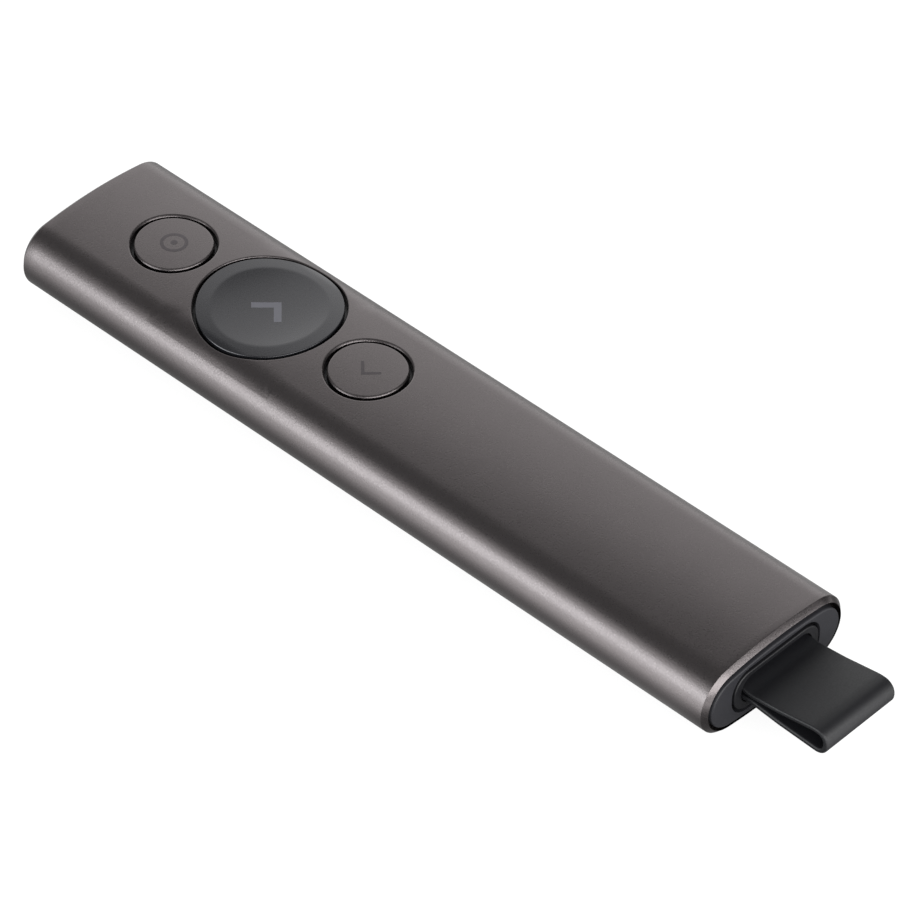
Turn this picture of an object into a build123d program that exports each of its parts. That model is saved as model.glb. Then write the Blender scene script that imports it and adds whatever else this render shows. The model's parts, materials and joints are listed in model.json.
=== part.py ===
from build123d import *

import os
from collections import namedtuple
from math import hypot, sqrt

# Pocket presentation remote. Millimetres. The origin is at the middle of the overall box, on its
# underside. +Y is the end that points at the screen, +Z is the key side, +X is to the right.
# Places along the body are stations: distances back from the front face, towards the dock end.

# ---- body ------------------------------------------------------------------------------------
BODY_LENGTH = 131.65
BODY_WIDTH = 28.1
BODY_HEIGHT = 12.1
CROWN_LIFT = 0.55
SLEEVE_WALL = 1.2
RIM_WALL = 0.8
RIM_CHAMFER = 0.7
END_PROUD = 0.31
FRONT_REBATE = 2.0
REAR_REBATE = 1.5
PLATE_GAP = 0.2
PLATE_EDGE = 0.35
SLIDE_GAP = 0.15

# ---- front end -------------------------------------------------------------------------------
CAP_THICKNESS = 1.5
CAP_PEG_RADIUS = 0.8
CAP_PEG_LENGTH = 1.2
CAP_PEG_OFFSET = 3.5
BULKHEAD_PLUG = 2.0
BULKHEAD_SCREW_OFFSET = 8.0
SCREW_RADIUS = 0.8
SCREW_HEAD_RADIUS = 1.4
SCREW_HEAD_HEIGHT = 0.9
SCREW_BITE = 5.0
BOSS_WALL = 0.9
BOSS_FLOOR = 0.6
FIT_GAP = 0.05
THREAD_GAP = 0.02

# ---- chassis ---------------------------------------------------------------------------------
CHASSIS_WALL = 1.0
CHASSIS_FLOOR = 1.45
LEDGE_WIDTH = 1.5
FENCE_THICKNESS = 0.8
FENCE_DROP = 0.9
BAY_GAP = 0.4

# ---- keys ------------------------------------------------------------------------------------
POINTER_STATION = 17.62
KEY_SPACE = 3.03
SMALL_KEY_RADIUS = 5.75
LARGE_KEY_MARGIN = 3.55
KEY_GAP = 0.36
KEY_EDGE = 0.18
SMALL_HOLE_EDGE = 0.28
LARGE_HOLE_EDGE = 0.16
CAP_SKIRT = 0.8
DISH_RIM = 2.1
DISH_SIDE_DEPTH = 0.21
DISH_SWEEP = 8.0
SPIGOT_RADIUS = 2.0
SPIGOT_DEPTH = 0.4
KEY_FLANGE_SHARE = 0.48
FLANGE_LAP = 0.9
NIB_RADIUS = 1.2
LEG_SIDE = 1.3
SMALL_LEG_INSET = 0.95
LARGE_LEG_INSET = 3.5
LEG_END_GAP = 1.2

# ---- tactile switches ------------------------------------------------------------------------
SWITCH_SIDE = 5.2
SWITCH_HEIGHT = 1.5
SWITCH_BASE = 0.25
SWITCH_LID = 0.2
SWITCH_WALL = 0.45
PLUNGER_RADIUS = 0.95
PLUNGER_FOOT_RADIUS = 1.5
PLUNGER_FOOT = 0.4
PLUNGER_STICKOUT = 0.8
DOME_RADIUS = 1.9
DOME_CREST_RADIUS = 0.7
DOME_SHEET = 0.1
TERMINAL_WIDTH = 0.8
TERMINAL_REACH = 0.6
TERMINAL_SHEET = 0.15

# ---- boards and what is on them --------------------------------------------------------------
BOARD_THICKNESS = 0.8
BOARD_UNDER = 2.1
BOARD_GAP = 0.5
BOARD_PAST_BACK_KEY = 5.4
BOARD_SCREW_MARGIN = 4.75
BOARD_SCREW_RADIUS = 0.7
BOARD_SCREW_HEAD_RADIUS = 1.2
BOARD_SCREW_HEAD_HEIGHT = 0.6
BOARD_SCREW_INSET = 2.7
GUIDE_LIFT = 1.0
GUIDE_THICKNESS = 0.9
GUIDE_SEAT = 0.6
SWITCH_WINDOW_GAP = 0.2
SHIELD_LENGTH = 6.0
SHIELD_WIDTH = 9.0
SHIELD_HEIGHT = 0.9
SHIELD_SHEET = 0.15
RADIO_SIDE = 4.0
RADIO_HEIGHT = 0.6
CRYSTAL_LENGTH = 2.0
CRYSTAL_WIDTH = 1.6
CRYSTAL_HEIGHT = 0.5
SENSOR_SIDE = 3.0
SENSOR_HEIGHT = 0.8
POWER_CHIP_SIDE = 3.5
POWER_CHIP_HEIGHT = 0.75
ANTENNA_LENGTH = 5.2
ANTENNA_WIDTH = 1.4
ANTENNA_HEIGHT = 0.6
CAPACITOR_LENGTH = 1.0
CAPACITOR_WIDTH = 0.5
CAPACITOR_HEIGHT = 0.5
CAPACITOR_PITCH = 1.6
CAPACITOR_COUNT = 6
CHIP_EDGE_GAP = 1.0

# ---- vibration motor -------------------------------------------------------------------------
MOTOR_SIDE_GAP = 0.2
MOTOR_HEIGHT = 2.6
MOTOR_SHEET = 0.25
MOTOR_GAP = 0.7
ROTOR_INSET = 0.7
ROTOR_THICKNESS = 1.0
ROTOR_HUB_RADIUS = 1.1
MOTOR_SHAFT_RADIUS = 0.4

# ---- battery ---------------------------------------------------------------------------------
BATTERY_MARGIN = 6.05
BATTERY_HEIGHT = 4.5
BATTERY_EDGE = 0.8
TAPE_THICKNESS = 0.25
COVER_WALL = 0.8
FOAM_WIDTH = 11.0
FOAM_MARGIN = 3.0
LEAD_RADIUS = 0.4
LEAD_SPACING = 1.2
CONNECTOR_WIDTH = 4.0
CONNECTOR_LENGTH = 4.0
CONNECTOR_HEIGHT = 0.8
CONNECTOR_SIDE_GAP = 0.5
RIBBON_WIDTH = 2.2
RIBBON_THICKNESS = 0.15
RIBBON_SIDE_GAP = 1.0
RIBBON_LAP = 3.0
RIBBON_BEND_SHARE = 0.4

# ---- charging port ---------------------------------------------------------------------------
PORT_WIDTH = 8.94
PORT_HEIGHT = 3.26
PORT_SHEET = 0.3
PORT_DEPTH = 7.3
PORT_BACK = 1.0
PORT_TONGUE_WIDTH = 6.6
PORT_TONGUE_THICKNESS = 0.7
PORT_TONGUE_LENGTH = 5.6
PORT_WING = 1.2
CHARGE_BOARD_LENGTH = 8.1
CHARGE_CHIP_LENGTH = 1.6
CHARGE_CHIP_WIDTH = 2.4
CHARGE_CHIP_HEIGHT = 0.7

# ---- receiver --------------------------------------------------------------------------------
RECEIVER_MARGIN = 5.625
RECEIVER_HEIGHT = 6.7
RECEIVER_CORNER = 2.95
RECEIVER_LENGTH = 11.5
RECEIVER_WALL = 0.65
RECEIVER_EDGE = 0.2
RECEIVER_GAP = 0.2
INSERT_RECESS = 0.1
INSERT_LENGTH = 4.25
MOUTH_DEPTH = 1.1
INSERT_BACK = 0.6
STRAP_SLOT_GAP = 0.2
STRAP_SLOT_HEIGHT = 3.6
STRAP_SLOT_CORNER = 0.6
PLUG_WIDTH = 12.0
PLUG_HEIGHT = 4.5
PLUG_SHEET = 0.3
PLUG_CORNER = 0.5
PLUG_LENGTH = 11.75
PLUG_ROOT = 1.6
PLUG_WINDOW = 2.4
PLUG_WINDOW_OFFSET = 3.0
PLUG_WINDOW_FROM_TIP = 4.0
PLUG_TIP_GAP = 0.85
PLUG_TONGUE_THICKNESS = 1.9
PLUG_TONGUE_SET_BACK = 0.5
CONTACT_WIDTH = 1.0
CONTACT_THICKNESS = 0.12
CONTACT_OFFSETS = (-3.5, -1.25, 1.25, 3.5)
CONTACT_LENGTH = 7.0
RECEIVER_CHIP_SIDE = 4.0
RECEIVER_CHIP_HEIGHT = 0.8

# ---- receiver dock ---------------------------------------------------------------------------
DOCK_WALL = 0.6
DOCK_FLANGE = 1.2
DOCK_RIB = 1.0
DOCK_SCREW_HEAD_RADIUS = 1.2

# ---- strap -----------------------------------------------------------------------------------
STRAP_MARGIN = 1.525
STRAP_THICKNESS = 0.8
STRAP_REACH = 14.65
STRAP_PIN_RADIUS = 0.5
STRAP_PIN_DEPTH = 2.1
STRAP_PIN_GAP = 0.15
STRAP_FOLD_HALF = 1.68
STRAP_FOLD_LIFT = 0.28
STRAP_CREST_BACK = 2.7
STRAP_BELLY_SHARE = 0.42
STRAP_BELLY_HALF = 1.0
STRAP_THROAT = 1.4
STRAP_THROAT_HALF = 0.5
STRAP_BEND = 5.0
STRAP_SLACK = 0.18

# ---- the body's section ----------------------------------------------------------------------
FRONT_Y = (BODY_LENGTH + STRAP_REACH) / 2
MID_Z = BODY_HEIGHT / 2
SIDE_RADIUS = MID_Z - CROWN_LIFT
SIDE_CENTRE = BODY_WIDTH / 2 - SIDE_RADIUS
CROWN_RADIUS = (SIDE_CENTRE**2 + MID_Z**2 - SIDE_RADIUS**2) / (2 * CROWN_LIFT)


def half_width_at(z, inset):
    """Half the section's width at a height, where the side arcs bound it."""
    side = SIDE_RADIUS - inset
    return SIDE_CENTRE + sqrt(side**2 - (z - MID_Z)**2)


def surface_z(x, inset):
    """Height of the section's upper surface at a distance from the middle plane."""
    crown = CROWN_RADIUS - inset
    tangent_x = SIDE_CENTRE * crown / (CROWN_RADIUS - SIDE_RADIUS)
    if abs(x) <= tangent_x:
        return MID_Z - CROWN_RADIUS + MID_Z + sqrt(crown**2 - x**2)
    return MID_Z + sqrt((SIDE_RADIUS - inset)**2 - (abs(x) - SIDE_CENTRE)**2)


# ---- worked out across the body --------------------------------------------------------------
PLATE_INSET = RIM_WALL + PLATE_GAP
CORE_INSET = SLEEVE_WALL + SLIDE_GAP
RECEIVER_WIDTH = BODY_WIDTH - 2 * RECEIVER_MARGIN
STRAP_WIDTH = RECEIVER_WIDTH - 2 * STRAP_MARGIN
STRAP_SLOT_WIDTH = STRAP_WIDTH + 2 * STRAP_SLOT_GAP
DOCK_HALF_WIDTH = RECEIVER_WIDTH / 2 + RECEIVER_GAP + DOCK_WALL
CORE_HALF_WIDTH = BODY_WIDTH / 2 - CORE_INSET
DOCK_SCREW_OFFSET = (DOCK_HALF_WIDTH + CORE_HALF_WIDTH) / 2
CHARGE_BOARD_HALF_WIDTH = DOCK_SCREW_OFFSET - SCREW_RADIUS - BOSS_WALL - BOARD_GAP
CHARGE_LEDGE = CHARGE_BOARD_HALF_WIDTH - LEDGE_WIDTH
BATTERY_WIDTH = BODY_WIDTH - 2 * BATTERY_MARGIN
BOARD_SCREW_OFFSET = BODY_WIDTH / 2 - BOARD_SCREW_MARGIN
BOARD_BOSS_SIDE = BOARD_SCREW_OFFSET - BOARD_SCREW_RADIUS - BOSS_WALL
CONNECTOR_OFFSET = BOARD_BOSS_SIDE - CONNECTOR_SIDE_GAP - CONNECTOR_WIDTH / 2
RIBBON_OFFSET = BOARD_BOSS_SIDE - RIBBON_SIDE_GAP - RIBBON_WIDTH / 2
MOTOR_RADIUS = CONNECTOR_OFFSET - LEAD_SPACING / 2 - LEAD_RADIUS - MOTOR_SIDE_GAP
ROTOR_RADIUS = MOTOR_RADIUS - ROTOR_INSET
LARGE_KEY_RADIUS = BODY_WIDTH / 2 - LARGE_KEY_MARGIN
DISH_RADIUS = LARGE_KEY_RADIUS - DISH_RIM

# ---- worked out along the body ---------------------------------------------------------------
RIM_FRONT = END_PROUD
RIM_REAR = BODY_LENGTH - END_PROUD
FRONT_SHOULDER = RIM_FRONT + FRONT_REBATE
REAR_SHOULDER = RIM_REAR - REAR_REBATE
CHASSIS_FRONT = FRONT_SHOULDER + BULKHEAD_PLUG
BULKHEAD_BOSS_END = CHASSIS_FRONT + SCREW_BITE + BOSS_FLOOR
RECEIVER_FRONT = BODY_LENGTH - RECEIVER_LENGTH
PLUG_TIP = RECEIVER_FRONT - PLUG_LENGTH
DOCK_WALL_INNER = PLUG_TIP - PLUG_TIP_GAP
DOCK_FRONT = DOCK_WALL_INNER - DOCK_FLANGE

KEY_PITCH = SMALL_KEY_RADIUS + KEY_SPACE + LARGE_KEY_RADIUS
NEXT_STATION = POINTER_STATION + KEY_PITCH
BACK_STATION = NEXT_STATION + KEY_PITCH
BOARD_FRONT = BULKHEAD_BOSS_END + BOARD_GAP
BOARD_END = BACK_STATION + BOARD_PAST_BACK_KEY
MOTOR_STATION = BOARD_END + MOTOR_GAP + MOTOR_RADIUS
FENCE_FRONT = MOTOR_STATION + MOTOR_RADIUS + BAY_GAP
BATTERY_FRONT = FENCE_FRONT + FENCE_THICKNESS + BAY_GAP
CHARGE_BOARD_END = DOCK_FRONT - BAY_GAP
CHARGE_BOARD_FRONT = CHARGE_BOARD_END - CHARGE_BOARD_LENGTH
FENCE_REAR = CHARGE_BOARD_FRONT - BAY_GAP - FENCE_THICKNESS
BATTERY_END = FENCE_REAR - BAY_GAP
PORT_MOUTH = DOCK_WALL_INNER - THREAD_GAP
PORT_REAR = PORT_MOUTH - PORT_DEPTH

# ---- worked out up the body ------------------------------------------------------------------
FLOOR_Z = CORE_INSET + CHASSIS_FLOOR
BOARD_Z = FLOOR_Z + BOARD_UNDER
BOARD_TOP_Z = BOARD_Z + BOARD_THICKNESS
SWITCH_TOP_Z = BOARD_TOP_Z + SWITCH_HEIGHT
PLUNGER_TOP_Z = SWITCH_TOP_Z + PLUNGER_STICKOUT
GUIDE_Z = BOARD_TOP_Z + GUIDE_LIFT
GUIDE_TOP_Z = GUIDE_Z + GUIDE_THICKNESS
LEG_END_Z = BOARD_TOP_Z + LEG_END_GAP
FENCE_TOP_Z = GUIDE_Z - FENCE_DROP
BATTERY_Z = FLOOR_Z + TAPE_THICKNESS
LEAD_Z = BATTERY_Z + BATTERY_HEIGHT / 2
CHARGE_BOARD_Z = MID_Z - BOARD_THICKNESS
LARGE_SEAT_Z = surface_z(LARGE_KEY_RADIUS, 0) - CAP_SKIRT
KEY_CORE = (LARGE_SEAT_Z - PLUNGER_TOP_Z) / 2
FLANGE_EDGE_Z = surface_z(LARGE_KEY_RADIUS + FLANGE_LAP, CORE_INSET)
KEY_FLANGE = (FLANGE_EDGE_Z - GUIDE_TOP_Z) * KEY_FLANGE_SHARE

Key = namedtuple("Key", "name station radius hole_edge leg_circle leg_angles")
SMALL_LEG_CIRCLE = SMALL_KEY_RADIUS - SMALL_LEG_INSET
LARGE_LEG_CIRCLE = LARGE_KEY_RADIUS - LARGE_LEG_INSET
KEYS = (
    Key("pointer", POINTER_STATION, SMALL_KEY_RADIUS, SMALL_HOLE_EDGE, SMALL_LEG_CIRCLE, (0, 180)),
    Key("next", NEXT_STATION, LARGE_KEY_RADIUS, LARGE_HOLE_EDGE, LARGE_LEG_CIRCLE,
        (45, 135, 225, 315)),
    Key("back", BACK_STATION, SMALL_KEY_RADIUS, SMALL_HOLE_EDGE, SMALL_LEG_CIRCLE, (0, 180)),
)


# ---- helpers ---------------------------------------------------------------------------------
def y_at(station):
    return FRONT_Y - station


def cross_section(station):
    """The plane across the body at a station: local x is +X, local y is +Z."""
    return Plane(origin=(0, y_at(station), MID_Z), x_dir=(1, 0, 0), z_dir=(0, -1, 0))


def bar(face, start, end):
    """A section drawn about the body's axis, run from one station to another."""
    return extrude(cross_section(start) * face, amount=end - start, dir=(0, -1, 0))


def lens_face(inset):
    """The body's section, set in from the outside: two crown arcs and two tangent side arcs."""
    crown = CROWN_RADIUS - inset
    side = SIDE_RADIUS - inset
    drop = CROWN_RADIUS - MID_Z
    reach = hypot(SIDE_CENTRE, drop)
    tangent_x = SIDE_CENTRE * crown / reach
    tangent_z = drop * crown / reach - drop
    top = MID_Z - inset
    upper = ThreePointArc((-tangent_x, tangent_z), (0, top), (tangent_x, tangent_z))
    right = ThreePointArc((tangent_x, tangent_z), (SIDE_CENTRE + side, 0), (tangent_x, -tangent_z))
    lower = ThreePointArc((tangent_x, -tangent_z), (0, -top), (-tangent_x, -tangent_z))
    left = ThreePointArc((-tangent_x, -tangent_z), (-SIDE_CENTRE - side, 0), (-tangent_x, tangent_z))
    return make_face(upper + right + lower + left)


def lens_bar(inset, start, end):
    return bar(lens_face(inset), start, end)


def slot_face(width, height, corner):
    return RectangleRounded(width, height, corner)


def block(x_low, x_high, start, end, z_low, z_high):
    size = Box(x_high - x_low, end - start, z_high - z_low)
    return Pos((x_low + x_high) / 2, y_at((start + end) / 2), (z_low + z_high) / 2) * size


def post(x, station, radius, z_low, z_high):
    """A round post along Z."""
    return Pos(x, y_at(station), (z_low + z_high) / 2) * Cylinder(radius, z_high - z_low)


def rod(x, radius, start, end, z=MID_Z):
    """A round rod along the body."""
    return bar(Pos(x, z - MID_Z) * Circle(radius), start, end)


def square_post(x, station, side, z_low, z_high):
    """A square post along Z."""
    return Pos(x, y_at(station), (z_low + z_high) / 2) * Box(side, side, z_high - z_low)


def around(key, angle):
    """A place on a key's leg circle: x and station."""
    spot = Vector(key.leg_circle, 0, 0).rotate(Axis.Z, angle)
    return spot.X, key.station + spot.Y


def end_edges(solid, axis_end):
    """Edges of the flat face at one end of the body."""
    return solid.faces().filter_by(Axis.Y).sort_by(Axis.Y)[axis_end].edges()


def save(node, shape):
    shape.label = node
    export_step(shape, f"parts/{node}.step")


# ---- sleeve and its two ends -----------------------------------------------------------------
def hole_radius(key):
    return key.radius + KEY_GAP


def on_hole_rim(edge, key):
    """True for an edge of a key hole that lies on the sleeve's outer surface."""
    middle = edge @ 0.5
    reach = hypot(middle.X, middle.Y - y_at(key.station))
    if abs(reach - hole_radius(key)) > THREAD_GAP:
        return False
    return abs(middle.Z - surface_z(middle.X, 0)) < THREAD_GAP


def make_sleeve():
    sleeve = lens_bar(0, RIM_FRONT, RIM_REAR)
    sleeve = chamfer(end_edges(sleeve, 0) + end_edges(sleeve, -1), RIM_CHAMFER)
    sleeve -= lens_bar(SLEEVE_WALL, RIM_FRONT, RIM_REAR)
    sleeve -= lens_bar(RIM_WALL, RIM_FRONT, FRONT_SHOULDER)
    sleeve -= lens_bar(RIM_WALL, REAR_SHOULDER, RIM_REAR)
    for key in KEYS:
        sleeve -= post(0, key.station, hole_radius(key), MID_Z, BODY_HEIGHT)
        rim = sleeve.edges().filter_by(lambda edge: on_hole_rim(edge, key))
        sleeve = chamfer(rim, key.hole_edge)
    return sleeve


def make_front_cap():
    cap = lens_bar(PLATE_INSET, 0, CAP_THICKNESS)
    cap = chamfer(end_edges(cap, -1), PLATE_EDGE)
    for x in (-CAP_PEG_OFFSET, CAP_PEG_OFFSET):
        cap += rod(x, CAP_PEG_RADIUS, CAP_THICKNESS, CAP_THICKNESS + CAP_PEG_LENGTH)
    return cap


def make_front_bulkhead():
    bulkhead = lens_bar(PLATE_INSET, CAP_THICKNESS, FRONT_SHOULDER)
    bulkhead += lens_bar(CORE_INSET, FRONT_SHOULDER, CHASSIS_FRONT)
    for side in (-1, 1):
        peg_x = side * CAP_PEG_OFFSET
        screw_x = side * BULKHEAD_SCREW_OFFSET
        bulkhead -= rod(peg_x, CAP_PEG_RADIUS + FIT_GAP, CAP_THICKNESS, CHASSIS_FRONT)
        bulkhead -= rod(screw_x, SCREW_RADIUS + FIT_GAP, CAP_THICKNESS, CHASSIS_FRONT)
        head_end = CAP_THICKNESS + FIT_GAP + SCREW_HEAD_HEIGHT
        bulkhead -= rod(screw_x, SCREW_HEAD_RADIUS + FIT_GAP, CAP_THICKNESS, head_end)
    return bulkhead


def body_screw(x, head_start, head_radius, bite_end):
    """A screw along the body: pan head with a cross recess, then its shank."""
    head_end = head_start + SCREW_HEAD_HEIGHT
    screw = rod(x, head_radius, head_start, head_end) + rod(x, SCREW_RADIUS, head_end, bite_end)
    bit = SCREW_RADIUS
    cross = Rectangle(2 * bit, bit / 2) + Rectangle(bit / 2, 2 * bit)
    return screw - bar(Pos(x, 0) * cross, head_start, head_start + SCREW_HEAD_HEIGHT / 2)


def make_bulkhead_screws():
    start = CAP_THICKNESS + FIT_GAP
    end = CHASSIS_FRONT + SCREW_BITE
    left = body_screw(-BULKHEAD_SCREW_OFFSET, start, SCREW_HEAD_RADIUS, end)
    return left + body_screw(BULKHEAD_SCREW_OFFSET, start, SCREW_HEAD_RADIUS, end)


def make_dock_plate():
    plate = lens_bar(PLATE_INSET, REAR_SHOULDER, BODY_LENGTH)
    plate = fillet(end_edges(plate, 0), PLATE_EDGE)
    plate -= bar(dock_opening(), REAR_SHOULDER, BODY_LENGTH)
    for x in (-DOCK_SCREW_OFFSET, DOCK_SCREW_OFFSET):
        plate += rod(x, SCREW_RADIUS, REAR_SHOULDER - DOCK_FLANGE, REAR_SHOULDER)
    return plate


# ---- chassis ---------------------------------------------------------------------------------
def board_screw_places():
    front = BOARD_FRONT + BOARD_SCREW_INSET
    rear = BOARD_END - BOARD_SCREW_INSET
    return [(x, u) for u in (front, rear) for x in (-BOARD_SCREW_OFFSET, BOARD_SCREW_OFFSET)]


def boss_pair(offset, start, end):
    """Two round screw bosses along the body, each on a web down to the floor."""
    radius = SCREW_RADIUS + BOSS_WALL
    pair = Part()
    for x in (-offset, offset):
        pair += rod(x, radius, start, end)
        pair += block(x - radius, x + radius, start, end, FLOOR_Z, MID_Z)
    return pair


def make_chassis():
    shell = lens_bar(CORE_INSET, CHASSIS_FRONT, DOCK_FRONT)
    trough = lens_bar(CORE_INSET + CHASSIS_WALL, CHASSIS_FRONT, DOCK_FRONT)
    above = block(-BODY_WIDTH, BODY_WIDTH, CHASSIS_FRONT, DOCK_FRONT, FLOOR_Z, BODY_HEIGHT)
    tray = shell - (trough & above)
    inside = Part()
    for side in (-1, 1):
        outer = side * (half_width_at(BOARD_Z, CORE_INSET + CHASSIS_WALL) + CHASSIS_WALL / 2)
        inner = outer - side * (LEDGE_WIDTH + CHASSIS_WALL / 2)
        low, high = sorted((inner, outer))
        inside += block(low, high, BOARD_FRONT, BOARD_END, FLOOR_Z, BOARD_Z)
        low, high = sorted((side * CHARGE_LEDGE, outer))
        inside += block(low, high, CHARGE_BOARD_FRONT, CHARGE_BOARD_END, FLOOR_Z, CHARGE_BOARD_Z)
    for x, station in board_screw_places():
        inside += post(x, station, BOARD_SCREW_RADIUS + BOSS_WALL, FLOOR_Z, BOARD_Z)
    for start in (FENCE_FRONT, FENCE_REAR):
        inside += block(-BODY_WIDTH / 2, BODY_WIDTH / 2, start, start + FENCE_THICKNESS,
                        FLOOR_Z, FENCE_TOP_Z)
        inside -= block(RIBBON_OFFSET - RIBBON_WIDTH / 2 - BAY_GAP,
                        RIBBON_OFFSET + RIBBON_WIDTH / 2 + BAY_GAP,
                        start, start + FENCE_THICKNESS, FLOOR_Z, FLOOR_Z + BAY_GAP * 2)
    inside += boss_pair(BULKHEAD_SCREW_OFFSET, CHASSIS_FRONT, BULKHEAD_BOSS_END)
    inside += boss_pair(DOCK_SCREW_OFFSET, DOCK_FRONT - SCREW_BITE - BOSS_FLOOR, DOCK_FRONT)
    tray -= block(-BODY_WIDTH, BODY_WIDTH, CHASSIS_FRONT, DOCK_FRONT, GUIDE_Z, BODY_HEIGHT)
    chassis = tray + (inside & shell)
    for x in (-BULKHEAD_SCREW_OFFSET, BULKHEAD_SCREW_OFFSET):
        end = CHASSIS_FRONT + SCREW_BITE + THREAD_GAP
        chassis -= rod(x, SCREW_RADIUS + THREAD_GAP, CHASSIS_FRONT, end)
    for x in (-DOCK_SCREW_OFFSET, DOCK_SCREW_OFFSET):
        start = DOCK_FRONT - SCREW_BITE - THREAD_GAP
        chassis -= rod(x, SCREW_RADIUS + THREAD_GAP, start, DOCK_FRONT)
    for x, station in board_screw_places():
        chassis -= post(x, station, BOARD_SCREW_RADIUS + THREAD_GAP, FLOOR_Z, BOARD_Z)
    gap_low = FENCE_FRONT - BAY_GAP
    lead_x = CONNECTOR_OFFSET + LEAD_SPACING
    chassis -= block(-lead_x - BAY_GAP, -lead_x + 2 * LEAD_SPACING + BAY_GAP, gap_low,
                     BATTERY_FRONT, LEAD_Z - LEAD_RADIUS - FIT_GAP, GUIDE_Z)
    return chassis


# ---- keys ------------------------------------------------------------------------------------
def seat_z(key):
    """Where a key's cap sits on its base."""
    return surface_z(key.radius, 0) - CAP_SKIRT


def dish_cutter(station):
    """Hollow for a thumb whose rim is a circle in plan on the crowned top."""
    bottom = surface_z(DISH_RADIUS, 0) - DISH_SIDE_DEPTH
    depth = BODY_HEIGHT - bottom
    along = (DISH_RADIUS**2 + depth**2) / (2 * depth)
    across = (DISH_RADIUS**2 + DISH_SIDE_DEPTH**2) / (2 * DISH_SIDE_DEPTH)
    reach = DISH_RADIUS + KEY_EDGE
    lift = along - sqrt(along**2 - reach**2)
    arc = ThreePointArc((-reach, lift), (0, 0), (reach, lift))
    lid = Polyline((reach, lift), (reach, 2 * depth), (-reach, 2 * depth), (-reach, lift))
    side_view = Plane(origin=(0, y_at(station), bottom), x_dir=(0, 1, 0), z_dir=(1, 0, 0))
    profile = side_view * make_face(arc + lid)
    axis = Axis((0, y_at(station), bottom + across), (0, 1, 0))
    return revolve(profile.rotate(axis, -DISH_SWEEP / 2), axis, revolution_arc=DISH_SWEEP)


def make_key_cap(key):
    seat = seat_z(key)
    reach = key.radius + FLANGE_LAP
    crown = lens_bar(0, key.station - reach, key.station + reach)
    cap = crown & post(0, key.station, key.radius, seat, BODY_HEIGHT + KEY_GAP)
    rim = [edge for edge in cap.edges() if (edge @ 0.5).Z > seat + KEY_EDGE]
    cap = chamfer(rim, KEY_EDGE)
    if key.name == "next":
        cap -= dish_cutter(key.station)
    return cap + post(0, key.station, SPIGOT_RADIUS, seat - SPIGOT_DEPTH, seat)


def make_key_base(key):
    """Core under the cap, a flange that stops against the sleeve, a nib and square guide legs."""
    seat = seat_z(key)
    underside = seat - KEY_CORE
    reach = key.radius + FLANGE_LAP
    flange_low = surface_z(reach, CORE_INSET) - KEY_FLANGE
    base = lens_bar(CORE_INSET, key.station - reach, key.station + reach)
    base &= post(0, key.station, reach, flange_low, seat)
    base -= post(0, key.station, key.radius - FIT_GAP, flange_low, seat)
    base += post(0, key.station, key.radius - FIT_GAP, underside, seat)
    base -= post(0, key.station, SPIGOT_RADIUS + FIT_GAP, seat - SPIGOT_DEPTH - FIT_GAP, seat)
    base += post(0, key.station, NIB_RADIUS, PLUNGER_TOP_Z, underside)
    for angle in key.leg_angles:
        x, station = around(key, angle)
        base += square_post(x, station, LEG_SIDE, LEG_END_Z, underside)
    return base


# ---- tactile switches ------------------------------------------------------------------------
def make_switch_body(station):
    half = SWITCH_SIDE / 2
    body = block(-half, half, station - half, station + half, BOARD_TOP_Z, SWITCH_TOP_Z)
    well_top = SWITCH_TOP_Z - SWITCH_LID
    well = SWITCH_SIDE - 2 * SWITCH_WALL
    body -= square_post(0, station, well, BOARD_TOP_Z + SWITCH_BASE, well_top)
    body -= post(0, station, PLUNGER_RADIUS + FIT_GAP, well_top, SWITCH_TOP_Z)
    for side in (-1, 1):
        for end in (-1, 1):
            middle = station + end * (half - TERMINAL_WIDTH)
            low, high = sorted((side * half, side * (half + TERMINAL_REACH)))
            body += block(low, high, middle - TERMINAL_WIDTH / 2, middle + TERMINAL_WIDTH / 2,
                          BOARD_TOP_Z, BOARD_TOP_Z + TERMINAL_SHEET)
    return body


def plunger_foot_z():
    return SWITCH_TOP_Z - SWITCH_LID - FIT_GAP - PLUNGER_FOOT


def make_switch_plunger(station):
    foot = post(0, station, PLUNGER_FOOT_RADIUS, plunger_foot_z(), plunger_foot_z() + PLUNGER_FOOT)
    return foot + post(0, station, PLUNGER_RADIUS, plunger_foot_z() + PLUNGER_FOOT, PLUNGER_TOP_Z)


def make_switch_dome(station):
    """Thin snap dome: a flat crest on a shallow cone that stands on the switch's floor."""
    floor = BOARD_TOP_Z + SWITCH_BASE
    top = plunger_foot_z()
    outline = Polyline((0, top), (DOME_CREST_RADIUS, top), (DOME_RADIUS, floor),
                       (DOME_RADIUS - 2 * DOME_SHEET, floor),
                       (DOME_CREST_RADIUS, top - DOME_SHEET), (0, top - DOME_SHEET), close=True)
    half_section = Plane(origin=(0, y_at(station), 0), x_dir=(1, 0, 0), z_dir=(0, -1, 0))
    return revolve(half_section * make_face(outline), Axis((0, y_at(station), 0), (0, 0, 1)))


# ---- boards and chips ------------------------------------------------------------------------
def board_half_width():
    return half_width_at(BOARD_Z, CORE_INSET + CHASSIS_WALL) - BOARD_GAP


def make_main_board():
    half = board_half_width()
    board = block(-half, half, BOARD_FRONT, BOARD_END, BOARD_Z, BOARD_TOP_Z)
    for x, station in board_screw_places():
        board -= post(x, station, BOARD_SCREW_RADIUS + FIT_GAP, BOARD_Z, BOARD_TOP_Z)
    return board


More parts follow.
